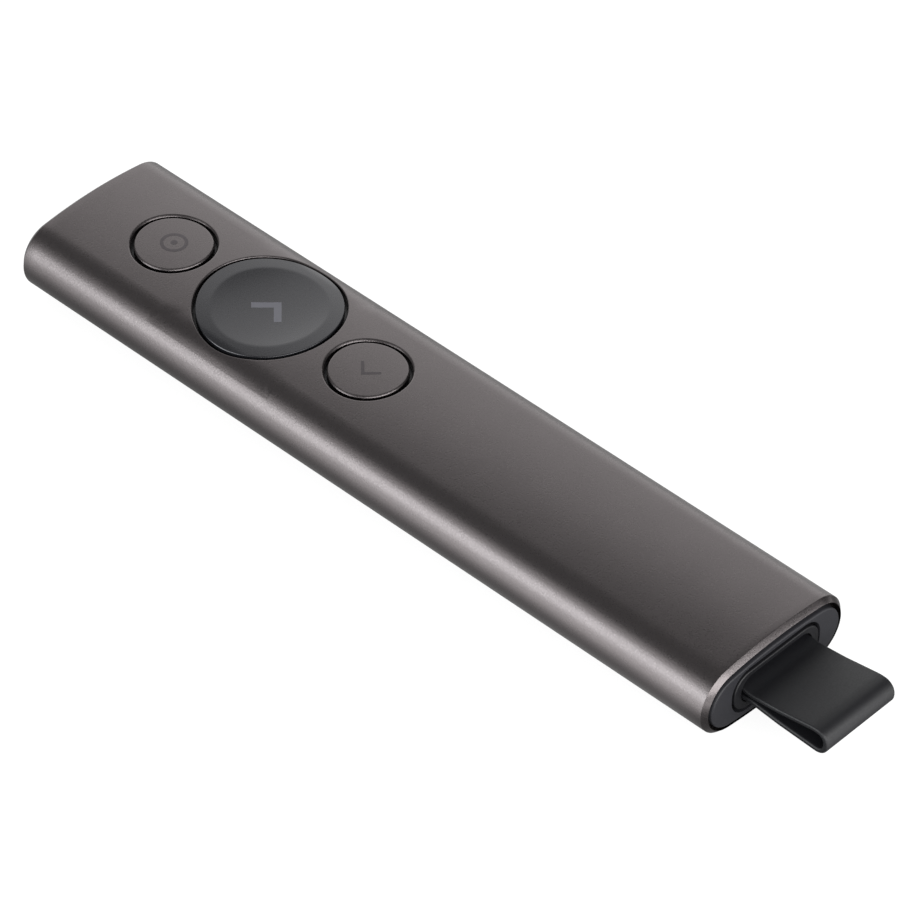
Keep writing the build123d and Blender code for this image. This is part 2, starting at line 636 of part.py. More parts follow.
def make_key_guide():
    half = half_width_at(GUIDE_Z, CORE_INSET) - GUIDE_SEAT / 2
    guide = block(-half, half, BOARD_FRONT, BOARD_END, GUIDE_Z, GUIDE_TOP_Z)
    for x, station in board_screw_places():
        guide += post(x, station, BOARD_SCREW_RADIUS + BOSS_WALL, BOARD_TOP_Z, GUIDE_Z)
    for x, station in board_screw_places():
        guide -= post(x, station, BOARD_SCREW_RADIUS + FIT_GAP, BOARD_TOP_Z, GUIDE_TOP_Z)
    window = SWITCH_SIDE / 2 + SWITCH_WINDOW_GAP
    for key in KEYS:
        guide -= block(-window, window, key.station - window, key.station + window,
                       GUIDE_Z, GUIDE_TOP_Z)
        for angle in key.leg_angles:
            x, station = around(key, angle)
            guide -= square_post(x, station, LEG_SIDE + 2 * FIT_GAP, GUIDE_Z, GUIDE_TOP_Z)
    return guide


def make_board_screws():
    screws = Part()
    head_top = GUIDE_TOP_Z + BOARD_SCREW_HEAD_HEIGHT
    for x, station in board_screw_places():
        screw = post(x, station, BOARD_SCREW_HEAD_RADIUS, GUIDE_TOP_Z, head_top)
        screw += post(x, station, BOARD_SCREW_RADIUS, FLOOR_Z + THREAD_GAP, GUIDE_TOP_Z)
        bit = BOARD_SCREW_RADIUS
        for long, short in ((bit, bit / 4), (bit / 4, bit)):
            screw -= block(x - long, x + long, station - short, station + short,
                           head_top - BOARD_SCREW_HEAD_HEIGHT / 2, head_top)
        screws += screw
    return screws


def chip(x, station, length, width, height):
    """A package on the board's upper face, with its length along the body."""
    return block(x - width / 2, x + width / 2, station - length / 2, station + length / 2,
                 BOARD_TOP_Z, BOARD_TOP_Z + height)


def between_keys(first, second):
    """The station halfway between the switches of two keys."""
    return (first + second) / 2


def make_rf_shield(station):
    can = chip(0, station, SHIELD_LENGTH, SHIELD_WIDTH, SHIELD_HEIGHT)
    inner = chip(0, station, SHIELD_LENGTH - 2 * SHIELD_SHEET, SHIELD_WIDTH - 2 * SHIELD_SHEET,
                 SHIELD_HEIGHT - SHIELD_SHEET)
    return can - inner


def make_capacitors():
    row = Part()
    first = -(CAPACITOR_COUNT - 1) / 2 * CAPACITOR_PITCH
    station = between_keys(NEXT_STATION, BACK_STATION) + SENSOR_SIDE / 2 + CHIP_EDGE_GAP
    for index in range(CAPACITOR_COUNT):
        row += chip(first + index * CAPACITOR_PITCH, station,
                    CAPACITOR_LENGTH, CAPACITOR_WIDTH, CAPACITOR_HEIGHT)
    return row


# ---- vibration motor -------------------------------------------------------------------------
def motor_ring(radius, z_low, z_high):
    return post(0, MOTOR_STATION, radius, z_low, z_high)


def make_motor_case():
    low = FLOOR_Z + MOTOR_SHEET
    top = FLOOR_Z + MOTOR_HEIGHT
    return motor_ring(MOTOR_RADIUS, low, top) - motor_ring(
        MOTOR_RADIUS - MOTOR_SHEET, low, top - MOTOR_SHEET)


def make_motor_base():
    return motor_ring(MOTOR_RADIUS, FLOOR_Z, FLOOR_Z + MOTOR_SHEET)


def make_motor_shaft():
    return motor_ring(MOTOR_SHAFT_RADIUS, FLOOR_Z + MOTOR_SHEET, FLOOR_Z + MOTOR_HEIGHT - MOTOR_SHEET)


def make_motor_rotor():
    low = FLOOR_Z + MOTOR_HEIGHT / 2 - ROTOR_THICKNESS / 2
    high = low + ROTOR_THICKNESS
    half_disc = motor_ring(ROTOR_RADIUS, low, high) & block(
        -ROTOR_RADIUS, ROTOR_RADIUS, MOTOR_STATION, MOTOR_STATION + ROTOR_RADIUS, low, high)
    hub = motor_ring(ROTOR_HUB_RADIUS, low, high)
    return half_disc + hub - motor_ring(MOTOR_SHAFT_RADIUS + FIT_GAP, low, high)


# ---- battery bay -----------------------------------------------------------------------------
def make_battery():
    half = BATTERY_WIDTH / 2
    pouch = block(-half, half, BATTERY_FRONT, BATTERY_END, BATTERY_Z, BATTERY_Z + BATTERY_HEIGHT)
    return fillet(pouch.edges().filter_by(Axis.Y), BATTERY_EDGE)


def make_battery_tape():
    edge = RIBBON_OFFSET - RIBBON_WIDTH / 2 - BAY_GAP
    return block(-BATTERY_WIDTH / 2 + BATTERY_EDGE, edge, BATTERY_FRONT + BAY_GAP,
                 BATTERY_END - BAY_GAP, FLOOR_Z, BATTERY_Z)


def make_battery_cover():
    arch = lens_bar(CORE_INSET, FENCE_FRONT, DOCK_FRONT)
    arch -= lens_bar(CORE_INSET + COVER_WALL, FENCE_FRONT, DOCK_FRONT)
    arch -= block(-BODY_WIDTH, BODY_WIDTH, FENCE_FRONT, DOCK_FRONT, 0, GUIDE_Z)
    for x in (-DOCK_SCREW_OFFSET, DOCK_SCREW_OFFSET):
        start = DOCK_FRONT - SCREW_BITE - BOSS_FLOOR - FIT_GAP
        arch -= rod(x, SCREW_RADIUS + BOSS_WALL + FIT_GAP, start, DOCK_FRONT)
    return arch


def make_battery_foam():
    top = surface_z(FOAM_WIDTH / 2, CORE_INSET + COVER_WALL)
    return block(-FOAM_WIDTH / 2, FOAM_WIDTH / 2, BATTERY_FRONT + FOAM_MARGIN,
                 BATTERY_END - FOAM_MARGIN, BATTERY_Z + BATTERY_HEIGHT, top)


def make_battery_connector():
    return block(-CONNECTOR_OFFSET - CONNECTOR_WIDTH / 2, -CONNECTOR_OFFSET + CONNECTOR_WIDTH / 2,
                 BOARD_END - CONNECTOR_LENGTH, BOARD_END, BOARD_Z - CONNECTOR_HEIGHT, BOARD_Z)


def side_points(x, points):
    """Places in a plane along the body, from (station, z) pairs."""
    return [(x, y_at(station), z) for station, z in points]


def swept(profile, path):
    """A flat profile, its local y towards +Z, carried along a path that starts along the body."""
    start = Plane(origin=path @ 0, x_dir=(1, 0, 0), z_dir=path % 0)
    return sweep(start * profile, path=path, transition=Transition.RIGHT)


def make_battery_leads():
    third = (BATTERY_FRONT - BOARD_END) / 3
    socket_z = BOARD_Z - CONNECTOR_HEIGHT / 2
    points = [(BOARD_END, socket_z), (BOARD_END + third, socket_z),
              (BATTERY_FRONT - third, LEAD_Z), (BATTERY_FRONT, LEAD_Z)]
    leads = Part()
    for offset in (-LEAD_SPACING / 2, LEAD_SPACING / 2):
        route = Polyline(*side_points(offset - CONNECTOR_OFFSET, points))
        leads += swept(Circle(LEAD_RADIUS), route)
    return leads


def make_ribbon():
    half = RIBBON_THICKNESS / 2
    low = FLOOR_Z + half
    main_z = BOARD_Z - half
    charge_z = CHARGE_BOARD_Z - half
    front = BOARD_END + BAY_GAP
    rear = CHARGE_BOARD_FRONT - BAY_GAP / 2
    points = [(BOARD_END - RIBBON_LAP, main_z), (front, main_z), (front, low),
              (rear, low), (rear, charge_z), (CHARGE_BOARD_FRONT + RIBBON_LAP, charge_z)]
    bend = (main_z - low) * RIBBON_BEND_SHARE
    route = FilletPolyline(*side_points(RIBBON_OFFSET, points), radius=bend)
    return swept(Rectangle(RIBBON_WIDTH, RIBBON_THICKNESS), route)


# ---- charging port ---------------------------------------------------------------------------
def make_charge_board():
    half = CHARGE_BOARD_HALF_WIDTH
    board = block(-half, half, CHARGE_BOARD_FRONT, CHARGE_BOARD_END, CHARGE_BOARD_Z, MID_Z)
    notch = PORT_WIDTH / 2 + FIT_GAP
    return board - block(-notch, notch, PORT_REAR - FIT_GAP, CHARGE_BOARD_END, CHARGE_BOARD_Z, MID_Z)


def make_charge_chip():
    half = CHARGE_CHIP_WIDTH / 2
    end = PORT_REAR - FIT_GAP
    return block(-half, half, end - CHARGE_CHIP_LENGTH, end, MID_Z, MID_Z + CHARGE_CHIP_HEIGHT)


def make_port_shell():
    outer = slot_face(PORT_WIDTH, PORT_HEIGHT, PORT_HEIGHT / 2 - THREAD_GAP)
    inner = slot_face(PORT_WIDTH - 2 * PORT_SHEET, PORT_HEIGHT - 2 * PORT_SHEET,
                      PORT_HEIGHT / 2 - PORT_SHEET - THREAD_GAP)
    shell = bar(outer, PORT_REAR, PORT_MOUTH) - bar(inner, PORT_REAR, PORT_MOUTH)
    for side in (-1, 1):
        root = side * (PORT_WIDTH / 2 - PORT_SHEET / 2)
        tip = side * (PORT_WIDTH / 2 + PORT_WING)
        low, high = sorted((root, tip))
        start = PORT_REAR + PORT_BACK
        shell += block(low, high, start, start + PORT_DEPTH / 3, MID_Z, MID_Z + PORT_SHEET)
    return shell


def make_port_tongue():
    core = slot_face(PORT_WIDTH - 2 * PORT_SHEET, PORT_HEIGHT - 2 * PORT_SHEET,
                     PORT_HEIGHT / 2 - PORT_SHEET - THREAD_GAP)
    back = bar(core, PORT_REAR, PORT_REAR + PORT_BACK)
    blade = Rectangle(PORT_TONGUE_WIDTH, PORT_TONGUE_THICKNESS)
    return back + bar(blade, PORT_REAR + PORT_BACK, PORT_REAR + PORT_BACK + PORT_TONGUE_LENGTH)


# ---- receiver dock ---------------------------------------------------------------------------
def dock_opening():
    return slot_face(RECEIVER_WIDTH + 2 * RECEIVER_GAP, RECEIVER_HEIGHT + 2 * RECEIVER_GAP,
                     RECEIVER_CORNER + RECEIVER_GAP)


def make_receiver_dock():
    grow = 2 * (RECEIVER_GAP + DOCK_WALL)
    tube = bar(slot_face(RECEIVER_WIDTH + grow, RECEIVER_HEIGHT + grow,
                         RECEIVER_CORNER + grow / 2), DOCK_FRONT, REAR_SHOULDER)
    dock = lens_bar(CORE_INSET, DOCK_FRONT, DOCK_WALL_INNER) + tube
    dock += lens_bar(CORE_INSET, REAR_SHOULDER - DOCK_FLANGE, REAR_SHOULDER)
    middle = (DOCK_WALL_INNER + REAR_SHOULDER) / 2
    dock += lens_bar(CORE_INSET, middle - DOCK_RIB / 2, middle + DOCK_RIB / 2)
    dock = dock & lens_bar(CORE_INSET, DOCK_FRONT, REAR_SHOULDER)
    dock -= bar(dock_opening(), DOCK_WALL_INNER, REAR_SHOULDER)
    window = slot_face(PORT_WIDTH + 2 * FIT_GAP, PORT_HEIGHT + 2 * FIT_GAP, PORT_HEIGHT / 2)
    dock -= bar(window, DOCK_FRONT, DOCK_WALL_INNER)
    for x in (-DOCK_SCREW_OFFSET, DOCK_SCREW_OFFSET):
        dock -= rod(x, SCREW_RADIUS + FIT_GAP, DOCK_FRONT, REAR_SHOULDER)
    return dock


def make_dock_screws():
    screws = Part()
    for x in (-DOCK_SCREW_OFFSET, DOCK_SCREW_OFFSET):
        screw = rod(x, SCREW_RADIUS, DOCK_FRONT - SCREW_BITE, DOCK_WALL_INNER)
        screws += screw + rod(x, DOCK_SCREW_HEAD_RADIUS, DOCK_WALL_INNER,
                              DOCK_WALL_INNER + SCREW_HEAD_HEIGHT)
    return screws


# ---- receiver --------------------------------------------------------------------------------
def receiver_face(inset):
    return slot_face(RECEIVER_WIDTH - 2 * inset, RECEIVER_HEIGHT - 2 * inset,
                     RECEIVER_CORNER - inset)


def plug_face(inset):
    return slot_face(PLUG_WIDTH - 2 * inset, PLUG_HEIGHT - 2 * inset, PLUG_CORNER - inset)


def make_receiver_housing():
    housing = bar(receiver_face(0), RECEIVER_FRONT, BODY_LENGTH)
    housing = chamfer(end_edges(housing, 0) + end_edges(housing, -1), RECEIVER_EDGE)
    housing -= bar(receiver_face(RECEIVER_WALL), RECEIVER_FRONT + RECEIVER_WALL, BODY_LENGTH)
    return housing - bar(plug_face(-FIT_GAP), RECEIVER_FRONT, BODY_LENGTH)


def make_receiver_insert():
    end = BODY_LENGTH - INSERT_RECESS
    start = end - INSERT_LENGTH
    insert = bar(receiver_face(RECEIVER_WALL + THREAD_GAP), start, end)
    slot = slot_face(STRAP_SLOT_WIDTH, STRAP_SLOT_HEIGHT, STRAP_SLOT_CORNER)
    insert -= bar(slot, start + INSERT_BACK, end)
    half = STRAP_SLOT_WIDTH / 2
    insert -= block(-half, half, BODY_LENGTH - MOUTH_DEPTH, end, 0, BODY_HEIGHT)
    return insert - strap_pin(STRAP_PIN_RADIUS + THREAD_GAP, RECEIVER_WIDTH)


def strap_pin(radius, length):
    middle = Pos(0, y_at(BODY_LENGTH - STRAP_PIN_DEPTH), MID_Z)
    return middle * Rot(0, 90, 0) * Cylinder(radius, length)


def make_plug_shell():
    end = RECEIVER_FRONT + PLUG_ROOT
    shell = bar(plug_face(0), PLUG_TIP, end) - bar(plug_face(PLUG_SHEET), PLUG_TIP, end)
    half = PLUG_WINDOW / 2
    for x in (-PLUG_WINDOW_OFFSET, PLUG_WINDOW_OFFSET):
        start = PLUG_TIP + PLUG_WINDOW_FROM_TIP
        shell -= block(x - half, x + half, start, start + PLUG_WINDOW, 0, BODY_HEIGHT)
    return shell


def plug_tongue_top():
    return MID_Z - PLUG_HEIGHT / 2 + PLUG_SHEET + PLUG_TONGUE_THICKNESS


def make_plug_tongue():
    half = PLUG_WIDTH / 2 - PLUG_CORNER
    return block(-half, half, PLUG_TIP + PLUG_TONGUE_SET_BACK, RECEIVER_FRONT,
                 plug_tongue_top() - PLUG_TONGUE_THICKNESS, plug_tongue_top())


def make_receiver_contacts():
    strips = Part()
    end = RECEIVER_FRONT
    for x in CONTACT_OFFSETS:
        strips += block(x - CONTACT_WIDTH / 2, x + CONTACT_WIDTH / 2, end - CONTACT_LENGTH, end,
                        plug_tongue_top(), plug_tongue_top() + CONTACT_THICKNESS)
    return strips


def make_receiver_board():
    half = PLUG_WIDTH / 2 - PLUG_CORNER
    end = BODY_LENGTH - INSERT_RECESS - INSERT_LENGTH - FIT_GAP
    return block(-half, half, RECEIVER_FRONT + FIT_GAP, end,
                 plug_tongue_top() - BOARD_THICKNESS, plug_tongue_top())


def make_receiver_chip():
    half = RECEIVER_CHIP_SIDE / 2
    start = RECEIVER_FRONT + PLUG_ROOT
    return block(-half, half, start, start + RECEIVER_CHIP_SIDE,
                 plug_tongue_top(), plug_tongue_top() + RECEIVER_CHIP_HEIGHT)


def strap_line():
    """The strap's middle line, seen from the side: distance past the dock face, height over mid."""
    pin_loop = STRAP_PIN_RADIUS + STRAP_PIN_GAP + STRAP_THICKNESS / 2
    near = -STRAP_PIN_DEPTH - pin_loop
    far = STRAP_REACH - STRAP_THICKNESS / 2
    crest = STRAP_REACH - STRAP_CREST_BACK
    belly = STRAP_REACH * STRAP_BELLY_SHARE
    top = STRAP_FOLD_LIFT + STRAP_FOLD_HALF
    bottom = STRAP_FOLD_LIFT - STRAP_FOLD_HALF
    first = (near, -FIT_GAP)
    last = (near, FIT_GAP)
    corners = [first, (near, -pin_loop), (STRAP_THROAT, -STRAP_THROAT_HALF),
               (belly, -STRAP_BELLY_HALF), (far, bottom), (far, top), (crest, top),
               (belly, STRAP_BELLY_HALF), (STRAP_THROAT, STRAP_THROAT_HALF),
               (near, pin_loop), last]
    pin_bend = pin_loop - STRAP_SLACK
    fold_bend = STRAP_FOLD_HALF - STRAP_SLACK
    bends = [pin_bend, STRAP_BEND, STRAP_BEND, fold_bend, fold_bend, STRAP_BEND,
             STRAP_BEND, STRAP_BEND, pin_bend]
    return FilletPolyline(*corners, radius=bends) + Line(last, first)


def make_strap():
    """A flat loop: round the pin, pinched at the slot's mouth, and folded round at its far end."""
    loop = make_face(strap_line())
    half = STRAP_THICKNESS / 2
    ring = offset(loop, half) - offset(loop, -half)
    side_view = Plane(origin=(-STRAP_WIDTH / 2, y_at(BODY_LENGTH), MID_Z),
                      x_dir=(0, -1, 0), z_dir=(1, 0, 0))
    flipped = mirror(ring, about=Plane.XZ)
    return extrude(side_view * flipped, amount=STRAP_WIDTH, dir=(1, 0, 0))


# ---- every node ------------------------------------------------------------------------------
def make_all():
    radio_station = between_keys(POINTER_STATION, NEXT_STATION)
    sensor_station = between_keys(NEXT_STATION, BACK_STATION)
    save("sleeve", make_sleeve())
    save("front_cap", make_front_cap())
    save("front_bulkhead", make_front_bulkhead())
    save("bulkhead_screws", make_bulkhead_screws())
    save("dock_plate", make_dock_plate())
    save("chassis", make_chassis())
    save("receiver_dock", make_receiver_dock())
    save("dock_screws", make_dock_screws())
    for key in KEYS:
        save(f"{key.name}_key_cap", make_key_cap(key))
        save(f"{key.name}_key_base", make_key_base(key))
        save(f"{key.name}_switch_body", make_switch_body(key.station))
        save(f"{key.name}_switch_plunger", make_switch_plunger(key.station))
        save(f"{key.name}_switch_dome", make_switch_dome(key.station))
    save("main_board", make_main_board())
    save("key_guide", make_key_guide())
    save("board_screws", make_board_screws())
    save("rf_shield", make_rf_shield(radio_station))
    save("radio_chip", chip(-RADIO_SIDE / 2, radio_station, RADIO_SIDE, RADIO_SIDE, RADIO_HEIGHT))
    save("crystal", chip(CRYSTAL_WIDTH, radio_station,
                         CRYSTAL_LENGTH, CRYSTAL_WIDTH, CRYSTAL_HEIGHT))
    save("motion_sensor", chip(0, sensor_station, SENSOR_SIDE, SENSOR_SIDE, SENSOR_HEIGHT))
    power_x = SENSOR_SIDE / 2 + CHIP_EDGE_GAP + POWER_CHIP_SIDE / 2
    save("power_chip", chip(power_x, sensor_station,
                            POWER_CHIP_SIDE, POWER_CHIP_SIDE, POWER_CHIP_HEIGHT))
    antenna_station = BOARD_FRONT + CHIP_EDGE_GAP
    save("chip_antenna", chip(0, antenna_station, ANTENNA_WIDTH, ANTENNA_LENGTH, ANTENNA_HEIGHT))
    save("capacitors", make_capacitors())
    save("haptic_motor_case", make_motor_case())
    save("haptic_motor_base", make_motor_base())
    save("haptic_motor_shaft", make_motor_shaft())
    save("haptic_motor_rotor", make_motor_rotor())
    save("battery", make_battery())
    save("battery_tape", make_battery_tape())
    save("battery_cover", make_battery_cover())
    save("battery_foam", make_battery_foam())
    save("battery_connector", make_battery_connector())
    save("battery_leads", make_battery_leads())
    save("flex_ribbon", make_ribbon())
    save("charge_board", make_charge_board())
    save("charge_chip", make_charge_chip())
    save("port_shell", make_port_shell())
    save("port_tongue", make_port_tongue())
    save("receiver_housing", make_receiver_housing())
    save("receiver_insert", make_receiver_insert())
    save("receiver_plug_shell", make_plug_shell())
    save("receiver_plug_tongue", make_plug_tongue())
    save("receiver_contacts", make_receiver_contacts())
    save("receiver_board", make_receiver_board())
    save("receiver_chip", make_receiver_chip())
    pin_length = RECEIVER_WIDTH - 2 * (RECEIVER_WALL + FIT_GAP)
    save("strap_pin", strap_pin(STRAP_PIN_RADIUS, pin_length))
    save("strap", make_strap())


if __name__ == "__main__":
    os.makedirs("parts", exist_ok=True)
    make_all()
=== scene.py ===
# %% [markdown]
# # A pocket presentation remote, dressed for its portrait
#
# The remote is a crowned aluminium sleeve with three round keys and a radio receiver that parks in
# one end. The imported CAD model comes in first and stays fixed: it says where everything is. Each
# later cell makes one piece or one finish. Lengths are metres, +Y is the end that points at the
# screen, +Z is the key side, and every piece sits at the origin with its place in its mesh.

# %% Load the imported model
import json
from math import atan2, cos, pi, radians, sin, sqrt

import bmesh
import bpy
import numpy as np
from mathutils import Matrix, Vector

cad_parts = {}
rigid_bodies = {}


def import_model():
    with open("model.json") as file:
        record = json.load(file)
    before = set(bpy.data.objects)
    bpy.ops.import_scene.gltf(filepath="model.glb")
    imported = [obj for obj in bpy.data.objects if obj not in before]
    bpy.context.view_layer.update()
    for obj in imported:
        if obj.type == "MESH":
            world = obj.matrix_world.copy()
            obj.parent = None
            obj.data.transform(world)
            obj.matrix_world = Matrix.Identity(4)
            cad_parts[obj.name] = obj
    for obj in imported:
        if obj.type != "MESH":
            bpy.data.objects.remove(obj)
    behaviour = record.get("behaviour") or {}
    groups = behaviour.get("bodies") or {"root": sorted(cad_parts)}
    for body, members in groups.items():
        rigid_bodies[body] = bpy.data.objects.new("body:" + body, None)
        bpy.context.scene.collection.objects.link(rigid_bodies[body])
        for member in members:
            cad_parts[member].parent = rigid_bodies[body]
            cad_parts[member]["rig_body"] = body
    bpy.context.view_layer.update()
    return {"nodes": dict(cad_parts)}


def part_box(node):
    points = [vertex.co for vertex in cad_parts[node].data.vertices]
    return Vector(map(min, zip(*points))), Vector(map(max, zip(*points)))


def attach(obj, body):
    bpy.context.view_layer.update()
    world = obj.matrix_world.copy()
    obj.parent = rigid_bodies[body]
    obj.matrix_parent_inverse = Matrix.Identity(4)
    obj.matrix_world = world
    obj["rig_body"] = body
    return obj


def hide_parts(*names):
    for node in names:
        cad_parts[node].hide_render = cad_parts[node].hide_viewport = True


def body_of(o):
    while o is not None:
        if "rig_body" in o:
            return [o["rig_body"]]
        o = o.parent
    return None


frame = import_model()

MM = 0.001

# %% [markdown]
# ## Sizes read from the model
#
# Nothing is measured twice. The sleeve's box gives the body's width and height, and the key caps'
# boxes give the three key places. What a box can't say, such as how far a chamfer reaches, is a
# named length in the cell that first needs it.

# %% Sizes
sleeve_low, sleeve_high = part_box("sleeve")
HALF_WIDTH, FRONT_Y, HEIGHT = sleeve_high
REAR_Y = sleeve_low[1]
MID_Z = HEIGHT / 2


def round_place(node):
    """Radius and the middle's y of a round node."""
    low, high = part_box(node)
    return (high[0] - low[0]) / 2, (high[1] + low[1]) / 2


KEYS = {name: round_place(f"{name}_key_cap") for name in ("back", "next", "pointer")}
for name, (radius, middle) in KEYS.items():
    print(f"{name} key: radius {radius / MM:.2f} mm at y {middle / MM:.2f} mm")

# %% [markdown]
# ## Finishes
#
# Bead-blasted aluminium, moulded plastic and silicone are never one flat colour. An image could
# show that, but a pattern made by nodes needs no unwrapping and has no seams. So a finish is a
# Principled shader with a faint drift of colour and a fine relief at its own scale. All patterns
# read Object coordinates in metres, so they stay put when a key is pressed.

# %% Node helpers
def feed(tree, node, feeds):
    """Feeds a node's inputs with values, with sockets, or with the first output of other nodes."""
    for key, value in feeds.items():
        if isinstance(value, bpy.types.Node):
            value = value.outputs[0]
        if isinstance(value, bpy.types.NodeSocket):
            tree.links.new(value, node.inputs[key])
        else:
            node.inputs[key].default_value = value
    return node


def add(tree, kind, feeds=None, **settings):
    """Adds a node, sets its properties and feeds its inputs."""
    node = tree.nodes.new(kind)
    for key, value in settings.items():
        setattr(node, key, value)
    return feed(tree, node, feeds or {})


def remap(tree, value, start, end, low=0.0, high=1.0):
    """A value taken from the range start to end into low to high, and held at both."""
    return add(tree, "ShaderNodeMapRange", {"Value": value, "From Min": start, "From Max": end,
                                            "To Min": low, "To Max": high})


def mixed(tree, share, first, second):
    """The colour output of a Mix node, whose colour inputs are numbers 6 and 7."""
    mix = add(tree, "ShaderNodeMix", {0: share, 6: first, 7: second}, data_type="RGBA")
    return mix.outputs[2]


def object_place(tree):
    return add(tree, "ShaderNodeTexCoord").outputs["Object"]


def principled(name, sockets):
    """A material, its tree and its shader."""
    material = bpy.data.materials.new(name)
    material.use_nodes = True
    tree = material.node_tree
    return material, tree, feed(tree, tree.nodes["Principled BSDF"], sockets)


# %% A finish
ROUGHNESS_DRIFT = 0.05
GRAIN_RANGE = (0.3, 0.7)


def finish(name, colour, roughness, metallic=0.0, drift=0.06, cloud=6, grain=0.2, relief=0.004,
           drawn=1.0, specular=0.5, tint=(1, 1, 1, 1)):
    """A material whose colour drifts in clouds and whose grain is raised by relief.

    cloud, grain and relief are millimetres, and drawn is how far the grain is stretched along Y.
    """
    material, tree, shader = principled(name, {
        "Metallic": metallic, "Specular IOR Level": specular, "Specular Tint": tint})
    place = object_place(tree)
    clouds = add(tree, "ShaderNodeTexNoise",
                 {"Vector": place, "Scale": 1 / (cloud * MM), "Detail": 3.0}).outputs["Fac"]
    dark, light = (tuple(c * (1 + way * drift) for c in colour) + (1,) for way in (-1, 1))
    pulled = add(tree, "ShaderNodeMapping", {"Vector": place, "Scale": (1, 1 / drawn, 1)})
    grains = add(tree, "ShaderNodeTexNoise",
                 {"Vector": pulled, "Scale": 1 / (grain * MM), "Detail": 2.0}).outputs["Fac"]
    bump = add(tree, "ShaderNodeBump", {"Height": grains, "Strength": 1.0, "Distance": relief * MM})
    feed(tree, shader, {
        "Base Color": mixed(tree, clouds, dark, light), "Normal": bump,
        "Roughness": remap(tree, grains, *GRAIN_RANGE, roughness - ROUGHNESS_DRIFT,
                           roughness + ROUGHNESS_DRIFT)})
    return material


# %% Metal finishes
anodised = finish("anodised_aluminium", (0.124, 0.1125, 0.1135), 0.31, 1.0, drift=0.05, cloud=5,
                  grain=0.25, relief=0.012)
plated_steel = finish("plated_steel", (0.55, 0.55, 0.56), 0.28, 1.0)
sheet_metal = finish("drawn_sheet", (0.62, 0.62, 0.6), 0.26, 1.0, grain=0.08, relief=0.001,
                     drawn=12.0)
plug_metal = finish("nickel_plate", (0.58, 0.57, 0.54), 0.2, 1.0, drift=0.03, grain=0.06,
                    relief=0.0008, drawn=20.0)
spring_steel = finish("spring_steel", (0.7, 0.7, 0.7), 0.18, 1.0, relief=0.001)
tungsten = finish("sintered_weight", (0.25, 0.25, 0.26), 0.45, 1.0, grain=0.12, relief=0.01)
pouch_foil = finish("pouch_foil", (0.7, 0.7, 0.72), 0.33, 1.0, grain=1.4, relief=0.06)
gold = finish("contact_gold", (0.83, 0.62, 0.28), 0.25, 1.0, grain=0.05, relief=0.0008, drawn=10.0)
tin = finish("dull_tin", (0.6, 0.6, 0.58), 0.4, 1.0, grain=0.05)

# %% Plastic, rubber, ink and other finishes
key_plastic = finish("key_plastic", (0.008, 0.0084, 0.01), 0.25, drift=0.05, specular=0.7,
                     tint=(0.97, 0.96, 1.0, 1))
end_plastic = finish("end_plastic", (0.027, 0.027, 0.031), 0.45, drift=0.04, specular=0.3)
frame_plastic = finish("frame_plastic", (0.012, 0.012, 0.014), 0.5, relief=0.008)
base_plastic = finish("key_base_plastic", (0.016, 0.016, 0.018), 0.4)
switch_plastic = finish("switch_nylon", (0.02, 0.02, 0.021), 0.45, grain=0.1)
tongue_plastic = finish("tongue_plastic", (0.75, 0.75, 0.73), 0.4, grain=0.1)
receiver_plastic = finish("receiver_plastic", (0.0095, 0.0095, 0.011), 0.42, drift=0.04,
                          specular=0.35)
silicone = finish("strap_silicone", (0.0048, 0.005, 0.0066), 0.5, drift=0.05, grain=0.25,
                  specular=0.44)
epoxy = finish("chip_epoxy", (0.02, 0.02, 0.022), 0.5)
ceramic = finish("fired_ceramic", (0.45, 0.35, 0.25), 0.5)
nylon = finish("moulded_nylon", (0.7, 0.67, 0.58), 0.5)
jacket = finish("lead_jacket", (0.35, 0.02, 0.015), 0.45)
film_amber = finish("flex_film", (0.45, 0.19, 0.03), 0.3)
tape = finish("adhesive_tape", (0.6, 0.56, 0.42), 0.6)
foam = finish("cell_foam", (0.03, 0.03, 0.03), 0.9, grain=0.5, relief=0.05)
ink_next = finish("ink_next", (0.12, 0.12, 0.14), 0.5)
ink_small = finish("ink_small", (0.09, 0.082, 0.086), 0.4, 1.0)

# %% Board finish
PALE_TRACK = (0.035, 0.13, 0.07, 1)
BARE_PAD = (0.8, 0.58, 0.25, 1)
TRACK_SCALE = 220.0
ZONE_SCALE = 130.0
PAD_SCALE = 480.0


def solder_mask():
    """Green mask over copper: tracks show as paler runs, and bare pads as small gold discs."""
    material = finish("solder_mask", (0.012, 0.055, 0.035), 0.35, drift=0.08)
    tree = material.node_tree
    shader = tree.nodes["Principled BSDF"]
    mask = shader.inputs["Base Color"].links[0].from_socket
    place = object_place(tree)
    runs = []
    for direction in ("X", "Y"):
        wave = add(tree, "ShaderNodeTexWave", {
            "Vector": place, "Scale": TRACK_SCALE, "Distortion": 2.5, "Detail": 0.0,
            "Detail Scale": 0.6}, bands_direction=direction)
        runs.append(remap(tree, wave.outputs["Fac"], 0.78, 0.84))
    zone = add(tree, "ShaderNodeTexNoise", {"Vector": place, "Scale": ZONE_SCALE})
    choose = remap(tree, zone.outputs["Fac"], 0.49, 0.51)
    tracks = add(tree, "ShaderNodeMix", {0: choose, 2: runs[0], 3: runs[1]})
    dots = add(tree, "ShaderNodeTexVoronoi", {
        "Vector": place, "Scale": PAD_SCALE, "Randomness": 0.55}, voronoi_dimensions="2D")
    pads = remap(tree, dots.outputs["Distance"], 0.2, 0.17)
    masked = mixed(tree, tracks, mask, PALE_TRACK)
    feed(tree, shader, {"Base Color": mixed(tree, pads, masked, BARE_PAD), "Metallic": pads})
    return material


main_mask = solder_mask()
print(len(bpy.data.materials), "materials")

